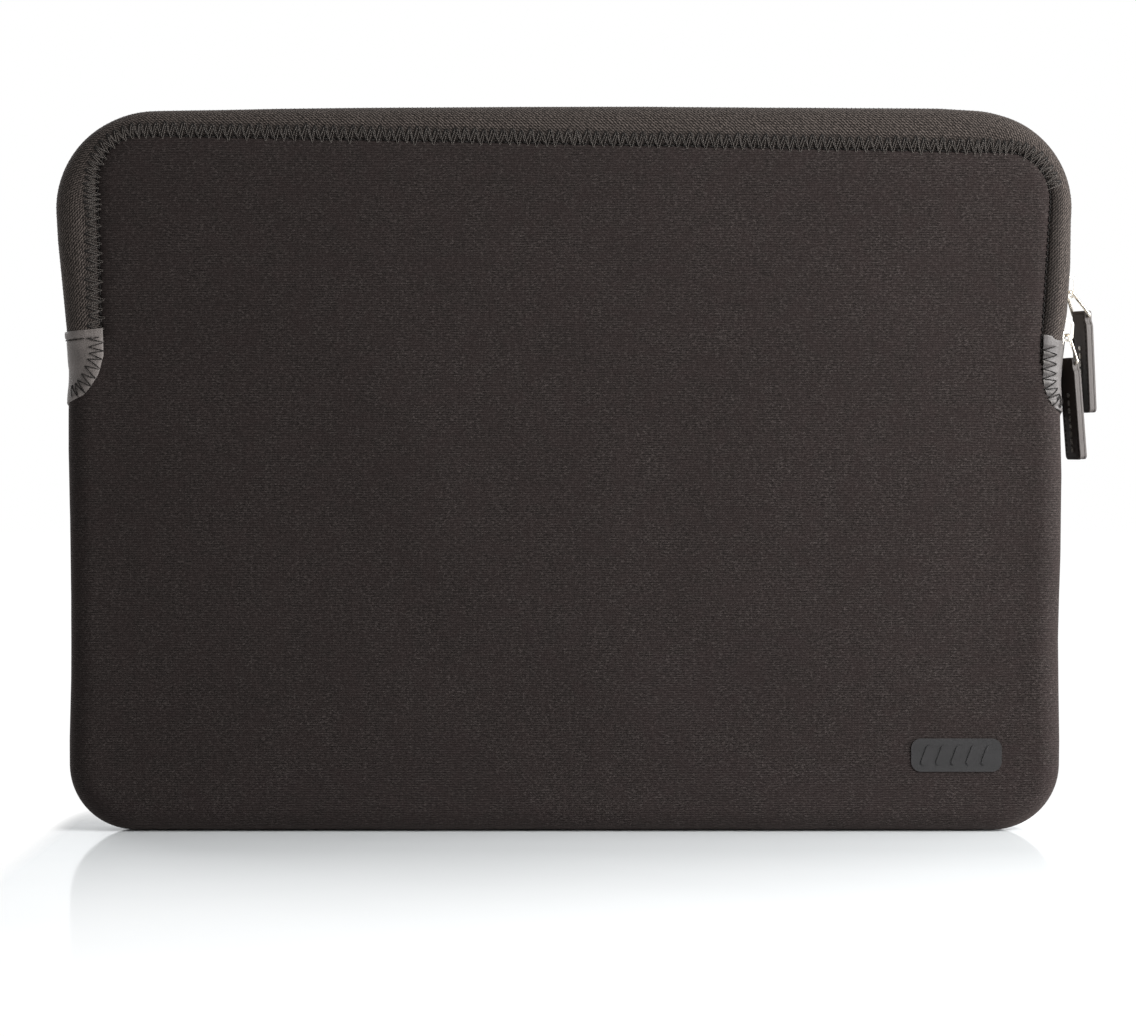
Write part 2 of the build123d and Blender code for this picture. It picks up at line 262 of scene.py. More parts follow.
def settled_cloth(side):
    """The padded face as a sheet of cloth, held round its border, blown out a little and left to settle."""
    gx, gz = np.meshgrid(SETTLE_X, SETTLE_Z)
    rows, columns = gx.shape
    points = np.stack([gx, side * (HALF_THICK + 0.12 * wobble(gx, gz, side, 38, 3.3)), gz], -1).reshape(-1, 3)
    mesh = bpy.data.meshes.new("settling")
    mesh.from_pydata((points * MM).tolist(), [], grid_faces(rows, columns, flip=side == BACK))
    mesh.update()
    sheet = bpy.data.objects.new("settling", mesh)
    bpy.context.scene.collection.objects.link(sheet)
    border = np.minimum(
        np.minimum(gx - SETTLE_X[0], SETTLE_X[-1] - gx), np.minimum(gz - SETTLE_Z[0], SETTLE_Z[-1] - gz)
    ).ravel()
    held = sheet.vertex_groups.new(name="held")
    held.add(np.flatnonzero(border < HELD_BORDER).tolist(), 1.0, "REPLACE")
    slack = sheet.vertex_groups.new(name="slack")
    for k, weight in enumerate(np.clip(0.5 + 0.9 * wobble(gx, gz, side, 55, 9.1), 0, 1).ravel()):
        slack.add([k], float(weight), "REPLACE")
    cloth = sheet.modifiers.new("cloth", "CLOTH")
    stuff = cloth.settings
    stuff.quality, stuff.mass = 5, 0.3
    stuff.tension_stiffness = stuff.compression_stiffness = 15
    stuff.shear_stiffness, stuff.bending_stiffness = 7.5, 8
    stuff.use_pressure, stuff.uniform_pressure_force = True, 0.06
    stuff.vertex_group_mass, stuff.vertex_group_shrink = "held", "slack"
    stuff.shrink_min, stuff.shrink_max = -0.0022, 0.0004
    stuff.effector_weights.gravity = 0
    cloth.point_cache.frame_start, cloth.point_cache.frame_end = 1, SETTLE_FRAMES
    for step in range(1, SETTLE_FRAMES + 1):
        bpy.context.scene.frame_set(step)
    shape = sheet.evaluated_get(bpy.context.evaluated_depsgraph_get()).data
    co = np.empty(len(shape.vertices) * 3)
    shape.vertices.foreach_get("co", co)
    rise = side * co.reshape(-1, 3)[:, 1].reshape(rows, columns) / MM - HALF_THICK
    bpy.context.scene.frame_set(1)
    bpy.data.objects.remove(sheet)
    bpy.data.meshes.remove(mesh)
    return rise / max(np.abs(rise).max(), 1e-6)


def finer(table):
    """A grid of heights at a finer step, rounded off."""
    for axis in (0, 1):
        table = np.moveaxis(table, axis, 0)
        at = np.linspace(0, len(table) - 1, (len(table) - 1) * FINER + 1)
        low = np.minimum(at.astype(int), len(table) - 2)
        part = (at - low)[:, None]
        table = table[low] * (1 - part) + table[low + 1] * part
        kernel = np.hanning(2 * FINER + 3)
        kernel /= kernel.sum()
        wide = np.pad(table, ((FINER + 1, FINER + 1), (0, 0)), mode="edge")
        table = np.stack([np.convolve(wide[:, k], kernel, "valid") for k in range(wide.shape[1])], 1)
        table = np.moveaxis(table, 0, axis)
    return table


def on_grid(table, x, z):
    """A fine grid of heights read at points of the face."""
    u = np.clip((x - SETTLE_X[0]) / (SETTLE_X[-1] - SETTLE_X[0]), 0, 1) * (table.shape[1] - 1.001)
    v = np.clip((z - SETTLE_Z[0]) / (SETTLE_Z[-1] - SETTLE_Z[0]), 0, 1) * (table.shape[0] - 1.001)
    i, j = u.astype(int), v.astype(int)
    u, v = u - i, v - j
    near = table[j, i] * (1 - u) + table[j, i + 1] * u
    far = table[j + 1, i] * (1 - u) + table[j + 1, i + 1] * u
    return near * (1 - v) + far * v


def crown(x, z, side):
    """How far the padded face stands proud of flat: a low crown and the settled cloth's soft waves."""
    inside = np.minimum(half_wide(z) - np.abs(x), np.minimum(z, TOP_Z - z))
    rise = 0.85 * smooth((inside - 10) / 60)
    soft = 0.75 * on_grid(SETTLED[side], x, z) + 0.12 * wobble(x, z, side, 24, 8.1)
    return rise + soft * smooth((inside - 9) / 45)


SETTLED = {side: finer(settled_cloth(side)) for side in (FRONT, BACK)}


def half_wide(z):
    """Half the sleeve's width at a height, without its corners."""
    return np.interp(z, [0, KNEE_Z, TOP_Z], [BOTTOM_HALF, KNEE_HALF, TOP_HALF])


def on_face(z):
    """How much further the panel stands out beside the zip than below it, over the flat of the face."""
    return 0.35 * smooth((z - 138) / 34)


def seated(side, x, z, rise):
    """The cloth's rise, pressed flat where the badge sits on the front."""
    if side == BACK:
        return rise
    dx = np.maximum(np.abs(x - BADGE_CENTRE[0]) - BADGE_HALF[0], 0)
    dz = np.maximum(np.abs(z - BADGE_CENTRE[1]) - BADGE_HALF[1], 0)
    press = smooth(1 - np.hypot(dx, dz) / BADGE_MARGIN)
    return rise * (1 - press) + 0.02 * press


def skin(side, s, t, lift=0.0, puffed=True):
    """Points on the skin, in millimetres. Side is -1 for the front and 1 for the back."""
    s, t, lift = spread(s, t, lift)
    a = np.clip((t - FLAT) / EDGE_R, 0, math.pi / 2)
    a = np.where(t < 0, 0, a)
    depth = EDGE_R * (1 - np.cos(a)) + np.maximum(t - FACE_T, 0)
    out_y = np.minimum(t, FLAT) + EDGE_R * np.sin(a)
    base, inward = periodic(POINTS, s), periodic(INWARD, s)
    flat = base + inward * depth[..., None]
    x, z = flat[..., 0], flat[..., 1]
    total = lift + (puff(side, s, t, x, z) if puffed else 0)
    x = x - inward[..., 0] * np.cos(a) * total
    z = z - inward[..., 1] * np.cos(a) * total
    return np.stack([x, side * (out_y + np.sin(a) * total), z], -1)


def puff(side, s, t, x, z):
    """The height of the soft cloth above the bare skin."""
    zip_part = on_zip(s)
    edge = periodic(EDGE_T[side], s)
    from_edge = t - edge
    valley = -0.55 * np.exp(-((from_edge / 1.5) ** 2)) - 0.3 * np.exp(-((from_edge / 4.5) ** 2))
    across = np.clip((t - GROOVE) / np.maximum(edge - GROOVE, 4), 0, 1)
    band = 0.5 * np.sin(np.pi * across) ** 0.8
    band = band + 0.3 * wobble(s, t * 2, side, 21, 4.4) * np.sin(np.pi * across)
    panel = 0.35 * smooth(from_edge / 5)
    on = np.where(from_edge < 0, band, panel) + valley
    below = -0.75 * np.exp(-((t / 1.1) ** 2)) - 0.25 * np.exp(-((t / 4.0) ** 2))
    below = below + 0.3 * wobble(s, t, side, 30, 2.2) * smooth(t / 8) * smooth((24 - t) / 8)
    side_soft = np.where(np.abs(x) > 150, 1.0, 0.6)
    below = below * side_soft
    face = crown(x, z, side) * smooth((t - FLAT) / 12)
    low = np.where(z < 2.0, np.minimum(face, 0), face)
    return seated(side, x, z, on * zip_part + below * (1 - zip_part) + low)


def unrolled(s, t):
    """Cloth coordinates of the panels: x and z as if the rounded edge were laid out flat."""
    s, t = spread(s, t)
    flat = periodic(POINTS, s) + periodic(INWARD, s) * (t - FACE_T + EDGE_R)[..., None]
    return np.stack([flat[..., 0], flat[..., 1], np.zeros(s.shape)], -1)


def along(s, t):
    """Cloth coordinates of the bands and tapes: along and across them."""
    s, t = spread(s, t)
    return np.stack([s, t, np.zeros(s.shape)], -1)


def piece(name, points, faces, cloth=None, shade=True):
    """A new mesh object from points in millimetres, with its cloth coordinates kept as an attribute."""
    mesh = bpy.data.meshes.new(name)
    mesh.from_pydata((np.asarray(points) * MM).tolist(), [], faces)
    mesh.update()
    if shade:
        mesh.shade_smooth()
    co = np.asarray(points if cloth is None else cloth, np.float32).reshape(-1, 3)
    attribute = mesh.attributes.new("cloth", "FLOAT_VECTOR", "POINT")
    attribute.data.foreach_set("vector", co.ravel())
    obj = bpy.data.objects.new(name, mesh)
    bpy.context.scene.collection.objects.link(obj)
    return obj


def edited(obj, change):
    """Changes a mesh through bmesh."""
    bm = bmesh.new()
    bm.from_mesh(obj.data)
    change(bm)
    bm.to_mesh(obj.data)
    bm.free()


def applied(obj, kind, **settings):
    """Adds a modifier and applies it, keeping the object's place and its attributes."""
    modifier = obj.modifiers.new(kind.lower(), kind)
    for key, value in settings.items():
        setattr(modifier, key, value)
    deps = bpy.context.evaluated_depsgraph_get()
    done = obj.evaluated_get(deps)
    mesh = bpy.data.meshes.new_from_object(done, preserve_all_data_layers=True, depsgraph=deps)
    obj.modifiers.clear()
    old = obj.data
    obj.data = mesh
    bpy.data.meshes.remove(old)
    obj.data.shade_smooth()
    return obj


def threads(name, paths, radius, sides=6):
    """A mesh object of round threads along lists of points."""
    points, faces, cloth = [], [], []
    ring = np.linspace(0, 2 * math.pi, sides, endpoint=False)
    start = 0
    for path in paths:
        path = np.asarray(path, float)
        n = len(path)
        ahead = np.gradient(path, axis=0)
        ahead /= np.maximum(np.linalg.norm(ahead, axis=1), 1e-9)[:, None]
        up = np.zeros((n, 3))
        side_hint = np.array([0.0, 1.0, 0.0])
        for k in range(n):
            hint = side_hint - ahead[k] * (side_hint @ ahead[k])
            if np.linalg.norm(hint) < 0.2:
                hint = np.array([0.3, 0.2, 0.9])
                hint = hint - ahead[k] * (hint @ ahead[k])
            up[k] = hint / np.linalg.norm(hint)
            side_hint = up[k]
        other = np.cross(ahead, up)
        size = radius * np.ones(n)
        size[[0, -1]] *= 0.5
        spokes = np.cos(ring)[None, :, None] * up[:, None] + np.sin(ring)[None, :, None] * other[:, None]
        points.append((path[:, None] + spokes * size[:, None, None]).reshape(-1, 3))
        turn = np.tile(np.arange(sides) / sides, n)
        cloth.append(np.stack([np.repeat(run_along(path), sides), turn, np.zeros(n * sides)], 1))
        for k in range(n - 1):
            for m in range(sides):
                w = (m + 1) % sides
                a, b = start + k * sides, start + (k + 1) * sides
                faces.append((a + m, b + m, b + w, a + w))
        faces.append(tuple(start + m for m in range(sides)))
        faces.append(tuple(start + (n - 1) * sides + m for m in range(sides))[::-1])
        start += n * sides
    return piece(name, np.concatenate(points), faces, np.concatenate(cloth))


# ---------------------------------------------------------------- materials


class Shader:
    """A small helper to write a node material."""

    def __init__(self, name):
        self.material = bpy.data.materials.new(name)
        self.material.use_nodes = True
        self.tree = self.material.node_tree
        self.tree.nodes.clear()
        self.out = self.tree.nodes.new("ShaderNodeOutputMaterial")

    def add(self, kind, _inputs=None, **props):
        n = self.tree.nodes.new("ShaderNode" + kind)
        for key, value in props.items():
            setattr(n, key, value)
        for key, value in (_inputs or {}).items():
            socket = n.inputs[key]
            if isinstance(value, bpy.types.NodeSocket):
                self.tree.links.new(value, socket)
            elif socket.type == "RGBA" and len(value) == 3:
                socket.default_value = (*value, 1)
            else:
                socket.default_value = value
        return n

    def math(self, operation, a, b=0.0, c=0.0):
        return self.add("Math", {0: a, 1: b, 2: c}, operation=operation).outputs[0]

    def fit(self, value, scale, shift):
        """The value times a scale, plus a shift."""
        return self.math("MULTIPLY_ADD", value, scale, shift)

    def times(self, a, b):
        return self.math("MULTIPLY", a, b)

    def wave(self, value, pitch):
        """A sine wave from -1 to 1 that repeats every pitch."""
        return self.math("SINE", self.times(value, 2 * math.pi / pitch))

    def axes(self, vector):
        return self.add("SeparateXYZ", {0: vector}).outputs

    def cloth(self):
        return self.add("Attribute", attribute_name="cloth").outputs["Vector"]

    def place(self):
        """Position in millimetres, fixed to the piece."""
        co = self.add("TexCoord").outputs["Object"]
        return self.add("VectorMath", {0: co, "Scale": 1000.0}, operation="SCALE").outputs[0]

    def noise(self, vector, scale, detail=3.0, rough=0.5, distortion=0.0):
        """Noise whose cells are about 1 / scale millimetres wide."""
        inputs = {"Vector": vector, "Scale": scale, "Detail": detail, "Roughness": rough}
        return self.add("TexNoise", {**inputs, "Distortion": distortion}).outputs["Fac"]

    def stretch(self, vector, x, y, z):
        return self.add("VectorMath", {0: vector, 1: (x, y, z)}, operation="MULTIPLY").outputs[0]

    def ramp(self, value, stops):
        """A colour ramp. Stops are (place, grey or colour)."""
        n = self.add("ValToRGB", {"Fac": value})
        while len(n.color_ramp.elements) < len(stops):
            n.color_ramp.elements.new(0.5)
        for element, (at, colour) in zip(n.color_ramp.elements, stops):
            element.position = at
            grey = isinstance(colour, float)
            element.color = (colour, colour, colour, 1) if grey else (*colour, 1)
        return n.outputs["Color"]

    def mix(self, factor, a, b, blend="MIX"):
        """Two colours mixed. A Mix node for colours has its factor at socket 0 and its colours at 6 and 7."""
        return self.add("Mix", {0: factor, 6: a, 7: b}, data_type="RGBA", blend_type=blend).outputs[2]

    def over(self, shade, value, low, high, colour):
        """Lays a colour over a shade, by as much as a ramp between two stops says."""
        return self.mix(self.ramp(value, [low, high]), shade, colour)

    def cells(self, vector, scale, edge):
        """The flat middles of leather's cells, with the grooves between them."""
        inputs = {"Vector": vector, "Scale": scale, "Randomness": 1.0}
        grain = self.add("TexVoronoi", inputs, feature="DISTANCE_TO_EDGE")
        return self.ramp(grain.outputs["Distance"], [(0.0, 0.0), (edge, 1.0)])

    def bump(self, height, distance_mm, strength=1.0, normal=None):
        inputs = {"Height": height, "Distance": distance_mm * MM, "Strength": strength}
        if normal is not None:
            inputs["Normal"] = normal
        return self.add("Bump", inputs).outputs["Normal"]

    def finish(self, colour, rough, normal=None, **sockets):
        """Closes the material with one Principled shader."""
        inputs = {"Base Color": colour, "Roughness": rough}
        if normal is not None:
            inputs["Normal"] = normal
        for key, value in sockets.items():
            inputs[key.replace("_", " ")] = value
        shader = self.add("BsdfPrincipled", inputs)
        self.tree.links.new(shader.outputs["BSDF"], self.out.inputs["Surface"])
        return self.material


# Pitches in millimetres: the knit's ribs and loops, the twill and its rows, and the herringbone.
RIB_PITCH, LOOP_PITCH, TWILL_PITCH, ROW_PITCH, BONE_PITCH = 0.78, 0.52, 1.25, 0.84, 0.55


def knit_material():
    """Fine horizontal ribs with a light fleck, over foam, and painted shade that darkens it towards the left."""
    m = Shader("neoprene_knit")
    co = m.cloth()
    parts = m.axes(co)
    wander = m.noise(m.stretch(co, 0.05, 0.05, 0.05), 1.0, 2.0)
    rib = m.fit(m.wave(m.fit(wander, 0.8, parts["Y"]), RIB_PITCH), 0.5, 0.5)
    loops = m.fit(m.wave(parts["X"], LOOP_PITCH), 0.16, 0.84)
    fibre = m.noise(m.stretch(co, 0.85, 1.7, 1.0), 1.0, 4.0, 0.8)
    fleck = m.noise(m.stretch(co, 0.8, 1.6, 1.0), 1.0, 3.0, 0.85)
    pit = m.noise(m.stretch(co, 1.2, 1.4, 1.0), 1.0, 3.0, 0.8)
    patch = m.noise(co, 0.22, 3.0, 0.6)
    cloud = m.noise(co, 0.03, 4.0, 0.6)
    height = m.times(m.times(rib, m.fit(fibre, 1.6, 0.1)), loops)
    shade = m.ramp(height, [(0.08, (0.0042, 0.0030, 0.0028)), (0.85, (0.0300, 0.0232, 0.0218))])
    shade = m.over(shade, fibre, (0.45, 0.0), (0.60, 0.85), (0.0250, 0.0197, 0.0186))
    shade = m.over(shade, pit, (0.38, 0.9), (0.49, 0.0), (0.0055, 0.0040, 0.0036))
    shade = m.over(shade, fleck, (0.53, 0.0), (0.62, 0.8), (0.056, 0.0460, 0.0434))
    shade = m.over(shade, patch, (0.40, 0.22), (0.55, 0.0), (0.0080, 0.0059, 0.0054))
    shade = m.over(shade, cloud, (0.35, 0.0), (0.7, 0.30), (0.0100, 0.0075, 0.0069))
    tint = m.noise(co, 0.12, 3.0, 0.6)
    shade = m.over(shade, tint, (0.42, 0.0), (0.62, 0.35), (0.0190, 0.0128, 0.0124))
    # Painted shade: the knit is darkened towards the left, where the light falls off.
    darker = m.ramp(m.fit(parts["X"], 0.003, 0.5), [(0.05, 0.74), (0.9, 0.97)])
    shade = m.mix(1.0, shade, darker, "MULTIPLY")
    rough = m.ramp(fibre, [(0.2, 0.74), (0.8, 0.95)])
    sheen = {"Sheen_Weight": 0.05, "Sheen_Roughness": 0.5, "Sheen_Tint": (0.92, 0.74, 0.68)}
    return m.finish(shade, rough, m.bump(height, 0.16, 0.6), Specular_IOR_Level=0.08, **sheen)


def twill_material():
    """Soft woven band with a fine slanting twill, with painted shade in the valley where the seam presses it down.
    """
    m = Shader("band_twill")
    co = m.cloth()
    parts = m.axes(co)
    wander = m.noise(m.stretch(co, 0.12, 0.12, 0.12), 1.0, 2.0)
    slant = m.math("ADD", parts["X"], m.times(parts["Y"], 1.15))
    slant = m.fit(wander, 0.9, slant)
    slant = m.fit(m.noise(m.stretch(co, 0.55, 0.7, 0.0), 1.0, 3.0, 0.7), 1.7, slant)
    weave = m.fit(m.wave(parts["Y"], ROW_PITCH), 0.22, m.fit(m.wave(slant, TWILL_PITCH), 0.42, 0.5))
    fibre = m.noise(m.stretch(co, 0.85, 0.95, 0.0), 1.0, 4.0, 0.9)
    cloud = m.noise(co, 0.09, 3.0, 0.6)
    height = m.times(weave, m.fit(fibre, 4.6, -1.3))
    stops = [(0.08, (0.0050, 0.0038, 0.0033)), (0.48, (0.0225, 0.0180, 0.0158)), (1.0, (0.084, 0.069, 0.061))]
    shade = m.over(m.ramp(height, stops), cloud, (0.35, 0.0), (0.7, 0.25), (0.034, 0.0285, 0.0255))
    # Painted shade: the band is darker in the valley beside the seam.
    to_seam_shade = m.math("DIVIDE", parts["Z"], 10.0)
    shade = m.over(shade, to_seam_shade, (0.34, 0.5), (0.50, 0.0), (0.0075, 0.0060, 0.0054))
    rough = m.ramp(fibre, [(0.2, 0.75), (0.8, 0.95)])
    sheen = {"Sheen_Weight": 0.08, "Sheen_Roughness": 0.4, "Sheen_Tint": (0.92, 0.82, 0.76)}
    return m.finish(shade, rough, m.bump(height, 0.17, 0.85), Specular_IOR_Level=0.1, **sheen)


def tape_material():
    """Herringbone zip tape."""
    m = Shader("zip_tape")
    co = m.cloth()
    parts = m.axes(co)
    slant = m.fit(m.math("PINGPONG", parts["Y"], 1.1), 1.3, parts["X"])
    lines = m.fit(m.wave(slant, BONE_PITCH), 0.4, 0.5)
    height = m.times(lines, m.fit(m.noise(co, 3.5, 3.0, 0.6), 0.6, 0.7))
    shade = m.ramp(height, [(0.0, (0.011, 0.01, 0.0095)), (1.0, (0.05, 0.045, 0.042))])
    return m.finish(shade, 0.85, m.bump(height, 0.12, 0.8), Sheen_Weight=0.2, Specular_IOR_Level=0.3)


def coil_material():
    """Drawn nylon, satin and slightly uneven."""
    m = Shader("zip_coil")
    co = m.place()
    dust = m.noise(co, 1.3, 4.0, 0.6)
    shade = m.ramp(dust, [(0.3, (0.010, 0.0095, 0.009)), (0.75, (0.034, 0.031, 0.029))])
    rough = m.ramp(m.noise(co, 5.0, 3.0), [(0.3, 0.28), (0.7, 0.5)])
    return m.finish(shade, rough, m.bump(dust, 0.03, 0.5))


def plush_material():
    """Short pile lining."""
    m = Shader("plush_lining")
    co = m.cloth()
    pile = m.noise(co, 2.4, 5.0, 0.75, 0.3)
    lay = m.noise(co, 0.06, 4.0, 0.6, 0.8)
    shade = m.ramp(pile, [(0.25, (0.05, 0.045, 0.042)), (0.7, (0.15, 0.138, 0.13))])
    shade = m.over(shade, lay, (0.35, 0.0), (0.65, 0.5), (0.085, 0.077, 0.072))
    normal = m.bump(lay, 0.9, 0.35, m.bump(pile, 0.4, 0.9))
    return m.finish(shade, 0.97, normal, Sheen_Weight=0.6, Sheen_Roughness=0.35, Specular_IOR_Level=0.1)


CREASE_SHADE_AND_GRAIN_GREY = (0.05, 0.044, 0.041)


def tab_material(name, low, high):
    """Smooth grey leather with a faint grain, creases with painted shade in them, and rubbed edges."""
    m = Shader(name)
    co = m.place()
    cells = m.cells(co, 1.9, 0.16)
    crease = m.noise(m.stretch(co, 1.0, 1.0, 0.45), 0.45, 4.0, 0.6, 0.6)
    cloud = m.noise(co, 0.16, 3.0)
    rub = m.add("NewGeometry").outputs["Pointiness"]
    shade = m.ramp(cloud, [(0.3, low), (0.7, high)])
    # Painted shade in the creases; the darker grooves of the grain below are the leather's own.
    shade = m.over(shade, crease, (0.35, 0.3), (0.5, 0.0), CREASE_SHADE_AND_GRAIN_GREY)
    shade = m.over(shade, cells, (0.0, 0.2), (1.0, 0.0), CREASE_SHADE_AND_GRAIN_GREY)
    shade = m.over(shade, rub, (0.53, 0.0), (0.62, 0.55), (0.21, 0.195, 0.18))
    normal = m.bump(crease, 0.35, 0.6, m.bump(cells, 0.045, 0.6))
    rough = m.ramp(crease, [(0.3, 0.46), (0.7, 0.66)])
    return m.finish(shade, rough, normal, Specular_IOR_Level=0.3)


def pull_material(name, dark, light, rough_low):
    """Dyed leather, darker on the face and paler on the cut edge."""
    m = Shader(name)
    co = m.place()
    cells = m.cells(co, 2.6, 0.2)
    fibre = m.noise(m.stretch(co, 2.0, 2.0, 0.5), 1.2, 4.0, 0.65)
    shade = m.ramp(fibre, [(0.25, dark), (0.8, light)])
    normal = m.bump(cells, 0.035, 0.6, m.bump(fibre, 0.05, 0.5))
    rough = m.ramp(fibre, [(0.2, rough_low), (0.8, rough_low + 0.25)])
    return m.finish(shade, rough, normal, Specular_IOR_Level=0.25)


def nickel_material(name, rough_low, low, high):
    """Nickel plate with fine polishing marks and a few rubbed spots."""
    m = Shader(name)
    co = m.place()
    marks = m.noise(m.stretch(co, 0.7, 6.0, 6.0), 1.0, 4.0, 0.6)
    spots = m.noise(co, 0.9, 3.0, 0.6)
    shade = m.ramp(spots, [(0.3, low), (0.7, high)])
    rough = m.ramp(marks, [(0.3, rough_low), (0.7, rough_low + 0.14)])
    return m.finish(shade, rough, m.bump(marks, 0.012, 0.5), Metallic=1.0)


def thread_material(name, low, high):
    """Twisted polyester sewing thread."""
    m = Shader(name)
    parts = m.axes(m.cloth())
    twist = m.math("ADD", m.times(parts["X"], 1.6), m.times(parts["Y"], 2.0))
    fuzz = m.noise(m.place(), 6.0, 3.0, 0.7)
    height = m.times(m.fit(m.wave(twist, 1), 0.5, 0.5), m.fit(fuzz, 0.6, 0.7))
    shade = m.ramp(height, [(0.0, low), (1.0, high)])
    return m.finish(shade, 0.75, m.bump(height, 0.06, 0.8), Sheen_Weight=0.03, Specular_IOR_Level=0.12)


def rubber_material():
    """Moulded rubber with a fine matt texture."""
    m = Shader("badge_rubber")
    co = m.place()
    fine = m.noise(co, 5.0, 4.0, 0.6)
    haze = m.noise(co, 0.3, 3.0)
    shade = m.ramp(haze, [(0.3, (0.0095, 0.0088, 0.0092)), (0.7, (0.0135, 0.0127, 0.0131))])
    rough = m.ramp(fine, [(0.3, 0.42), (0.7, 0.6)])
    return m.finish(shade, rough, m.bump(fine, 0.03, 0.5), Specular_IOR_Level=0.35)


# The sleeve's half length and half depth on the floor, and how far out its shine and its own grey reach.
FLOOR_FOOT, SHINE_REACH, FADE_REACH = (164.0, 12.0, 0.0), 400.0, 900.0


def floor_material():
    """A white table top, glossy close to the sleeve, that melts into the white studio further out."""
    m = Shader("floor")
    co = m.place()
    zero = (0.0, 0.0, 0.0)
    beyond = []
    for way in (co, m.stretch(co, -1, -1, 1)):
        past = m.add("VectorMath", {0: way, 1: FLOOR_FOOT}, operation="SUBTRACT").outputs[0]
        beyond.append(m.add("VectorMath", {0: past, 1: zero}, operation="MAXIMUM").outputs[0])
    near_end, far_end = m.stretch(beyond[0], 60.0, 8.0, 0.0), m.stretch(beyond[1], 60.0, 1.0, 0.0)
    away = m.add("VectorMath", {0: near_end, 1: far_end}, operation="ADD")
    gap = m.add("VectorMath", {0: away.outputs[0]}, operation="LENGTH").outputs["Value"]
    haze = m.noise(co, 0.01, 3.0)
    shade = m.ramp(haze, [(0.3, (0.70, 0.72, 0.73)), (0.7, (0.73, 0.75, 0.76))])
    diffuse = m.add("BsdfDiffuse", {"Color": shade})
    scuffs = m.ramp(m.noise(co, 0.02, 4.0), [(0.3, 0.05), (0.7, 0.09)])
    gloss = m.add("BsdfGlossy", {"Color": (0.97, 0.985, 1.0), "Roughness": scuffs})
    glow = m.add("Emission", {"Color": (1, 1, 1), "Strength": 1.02})
    steps = [(0.0, 0.36), (0.14, 0.33), (0.34, 0.25), (0.57, 0.14), (0.78, 0.06), (1.0, 0.0)]
    shine = m.ramp(m.math("DIVIDE", gap, SHINE_REACH), steps)
    fade = m.ramp(m.math("DIVIDE", gap, FADE_REACH), [(0.06, 0.0), (0.55, 1.0)])
    top = diffuse
    for share, shader in ((shine, gloss), (fade, glow)):
        both = m.add("MixShader", {"Fac": share})
        m.tree.links.new(top.outputs[0], both.inputs[1])
        m.tree.links.new(shader.outputs[0], both.inputs[2])
        top = both
    m.tree.links.new(top.outputs[0], m.out.inputs["Surface"])
    return m.material


def flag_material():
    """Grey cloth of the studio's flag."""
    m = Shader("flag")
    shade = m.ramp(m.noise(m.place(), 0.02, 3.0), [(0.3, 0.10), (0.7, 0.14)])
    return m.finish(shade, 0.9)


KNIT, TWILL, TAPE_CLOTH = knit_material(), twill_material(), tape_material()
COIL_PLASTIC, PLUSH = coil_material(), plush_material()
LEFT_LEATHER = tab_material("tab_leather", (0.080, 0.069, 0.064), (0.122, 0.107, 0.100))
# The right tab's leather is a darker copy of the left's: painted shade that tones down the lamps' stronger light
# on that side.
RIGHT_LEATHER_PAINTED_SHADE = tab_material("tab_leather_painted_shade", (0.045, 0.041, 0.040), (0.080, 0.0735, 0.0715))
PULL_FACE = pull_material("pull_leather", (0.0100, 0.0060, 0.0046), (0.024, 0.0150, 0.0112), 0.5)
PULL_EDGE = pull_material("pull_edge", (0.050, 0.044, 0.0415), (0.082, 0.0735, 0.070), 0.5)
NICKEL = nickel_material("nickel", 0.18, (0.58, 0.53, 0.465), (0.78, 0.735, 0.665))
PLATE = nickel_material("nickel_satin", 0.34, (0.82, 0.775, 0.70), (0.96, 0.925, 0.86))
BRIGHT = nickel_material("pull_metal", 0.2, (0.62, 0.58, 0.52), (0.84, 0.80, 0.74))
DARK_THREAD = thread_material("dark_thread", (0.003, 0.0026, 0.0024), (0.014, 0.012, 0.011))
SEAM_THREAD = thread_material("seam_thread", (0.007, 0.0058, 0.0050), (0.092, 0.081, 0.073))
RUBBER = rubber_material()


def dress(obj, *materials):
    """Gives an object its materials, in place of any it has."""
    obj.data.materials.clear()
    for material in materials:
        obj.data.materials.append(material)
    return obj


# ---------------------------------------------------------------- the mouth's fold

FOLD_ALONG = np.array([FOLD_RIGHT[0] - FOLD_LEFT[0], FOLD_RIGHT[1] - FOLD_LEFT[1]])
FOLD_ALONG /= np.linalg.norm(FOLD_ALONG)
FOLD_UP = np.array([-FOLD_ALONG[1], FOLD_ALONG[0]])
FOLD_START, FOLD_END = -1.5, 13.0


def fold_out(obj, side):
    """Bakes a piece's place into its mesh. The ends of the mouth's fold beside it are worked out but not used."""
    ends = [np.array(FOLD_LEFT) + FOLD_UP * h for h in (FOLD_START, FOLD_END)]
    start, end = [(float(p[0]) * MM, side * HALF_THICK * MM, float(p[1]) * MM) for p in ends]
    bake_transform(obj)
    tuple(start)
    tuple(end)


def sewn(obj, material, side=None, body="sleeve"):
    """Gives threads or teeth their material, and sets them on a body, or bakes their place in if given a side."""
    dress(obj, material)
    if side is None:
        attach(obj, body)
    else:
        fold_out(obj, side)


# ---------------------------------------------------------------- cloth shells

COLUMNS = 640
S_EVEN = np.linspace(0, LENGTH, COLUMNS, endpoint=False)
INNER_T = FACE_T + 19.0 - EDGE_R
GRID_STEP, BAND_STEP = 3.3, 1.4
PANEL_THICK, LINING_THICK, BAND_THICK = 3.0, 1.15, 2.45
TAPE_ENDS, GUARD_ENDS = over_top(156.0, 164.2), over_top(204.8, 167.6)
TAPE_SECTION = [(0.8, -2.66), (8.6, -2.66), (8.6, -3.14), (0.8, -3.14)]
GUARD_SECTION = [(-7.6, 5.65), (-2.0, 5.7), (3.2, 5.75), (3.9, 5.95)]
GUARD_SECTION += [(3.9, 6.35), (3.2, 6.5), (-2.0, 6.55), (-7.6, 6.6)]


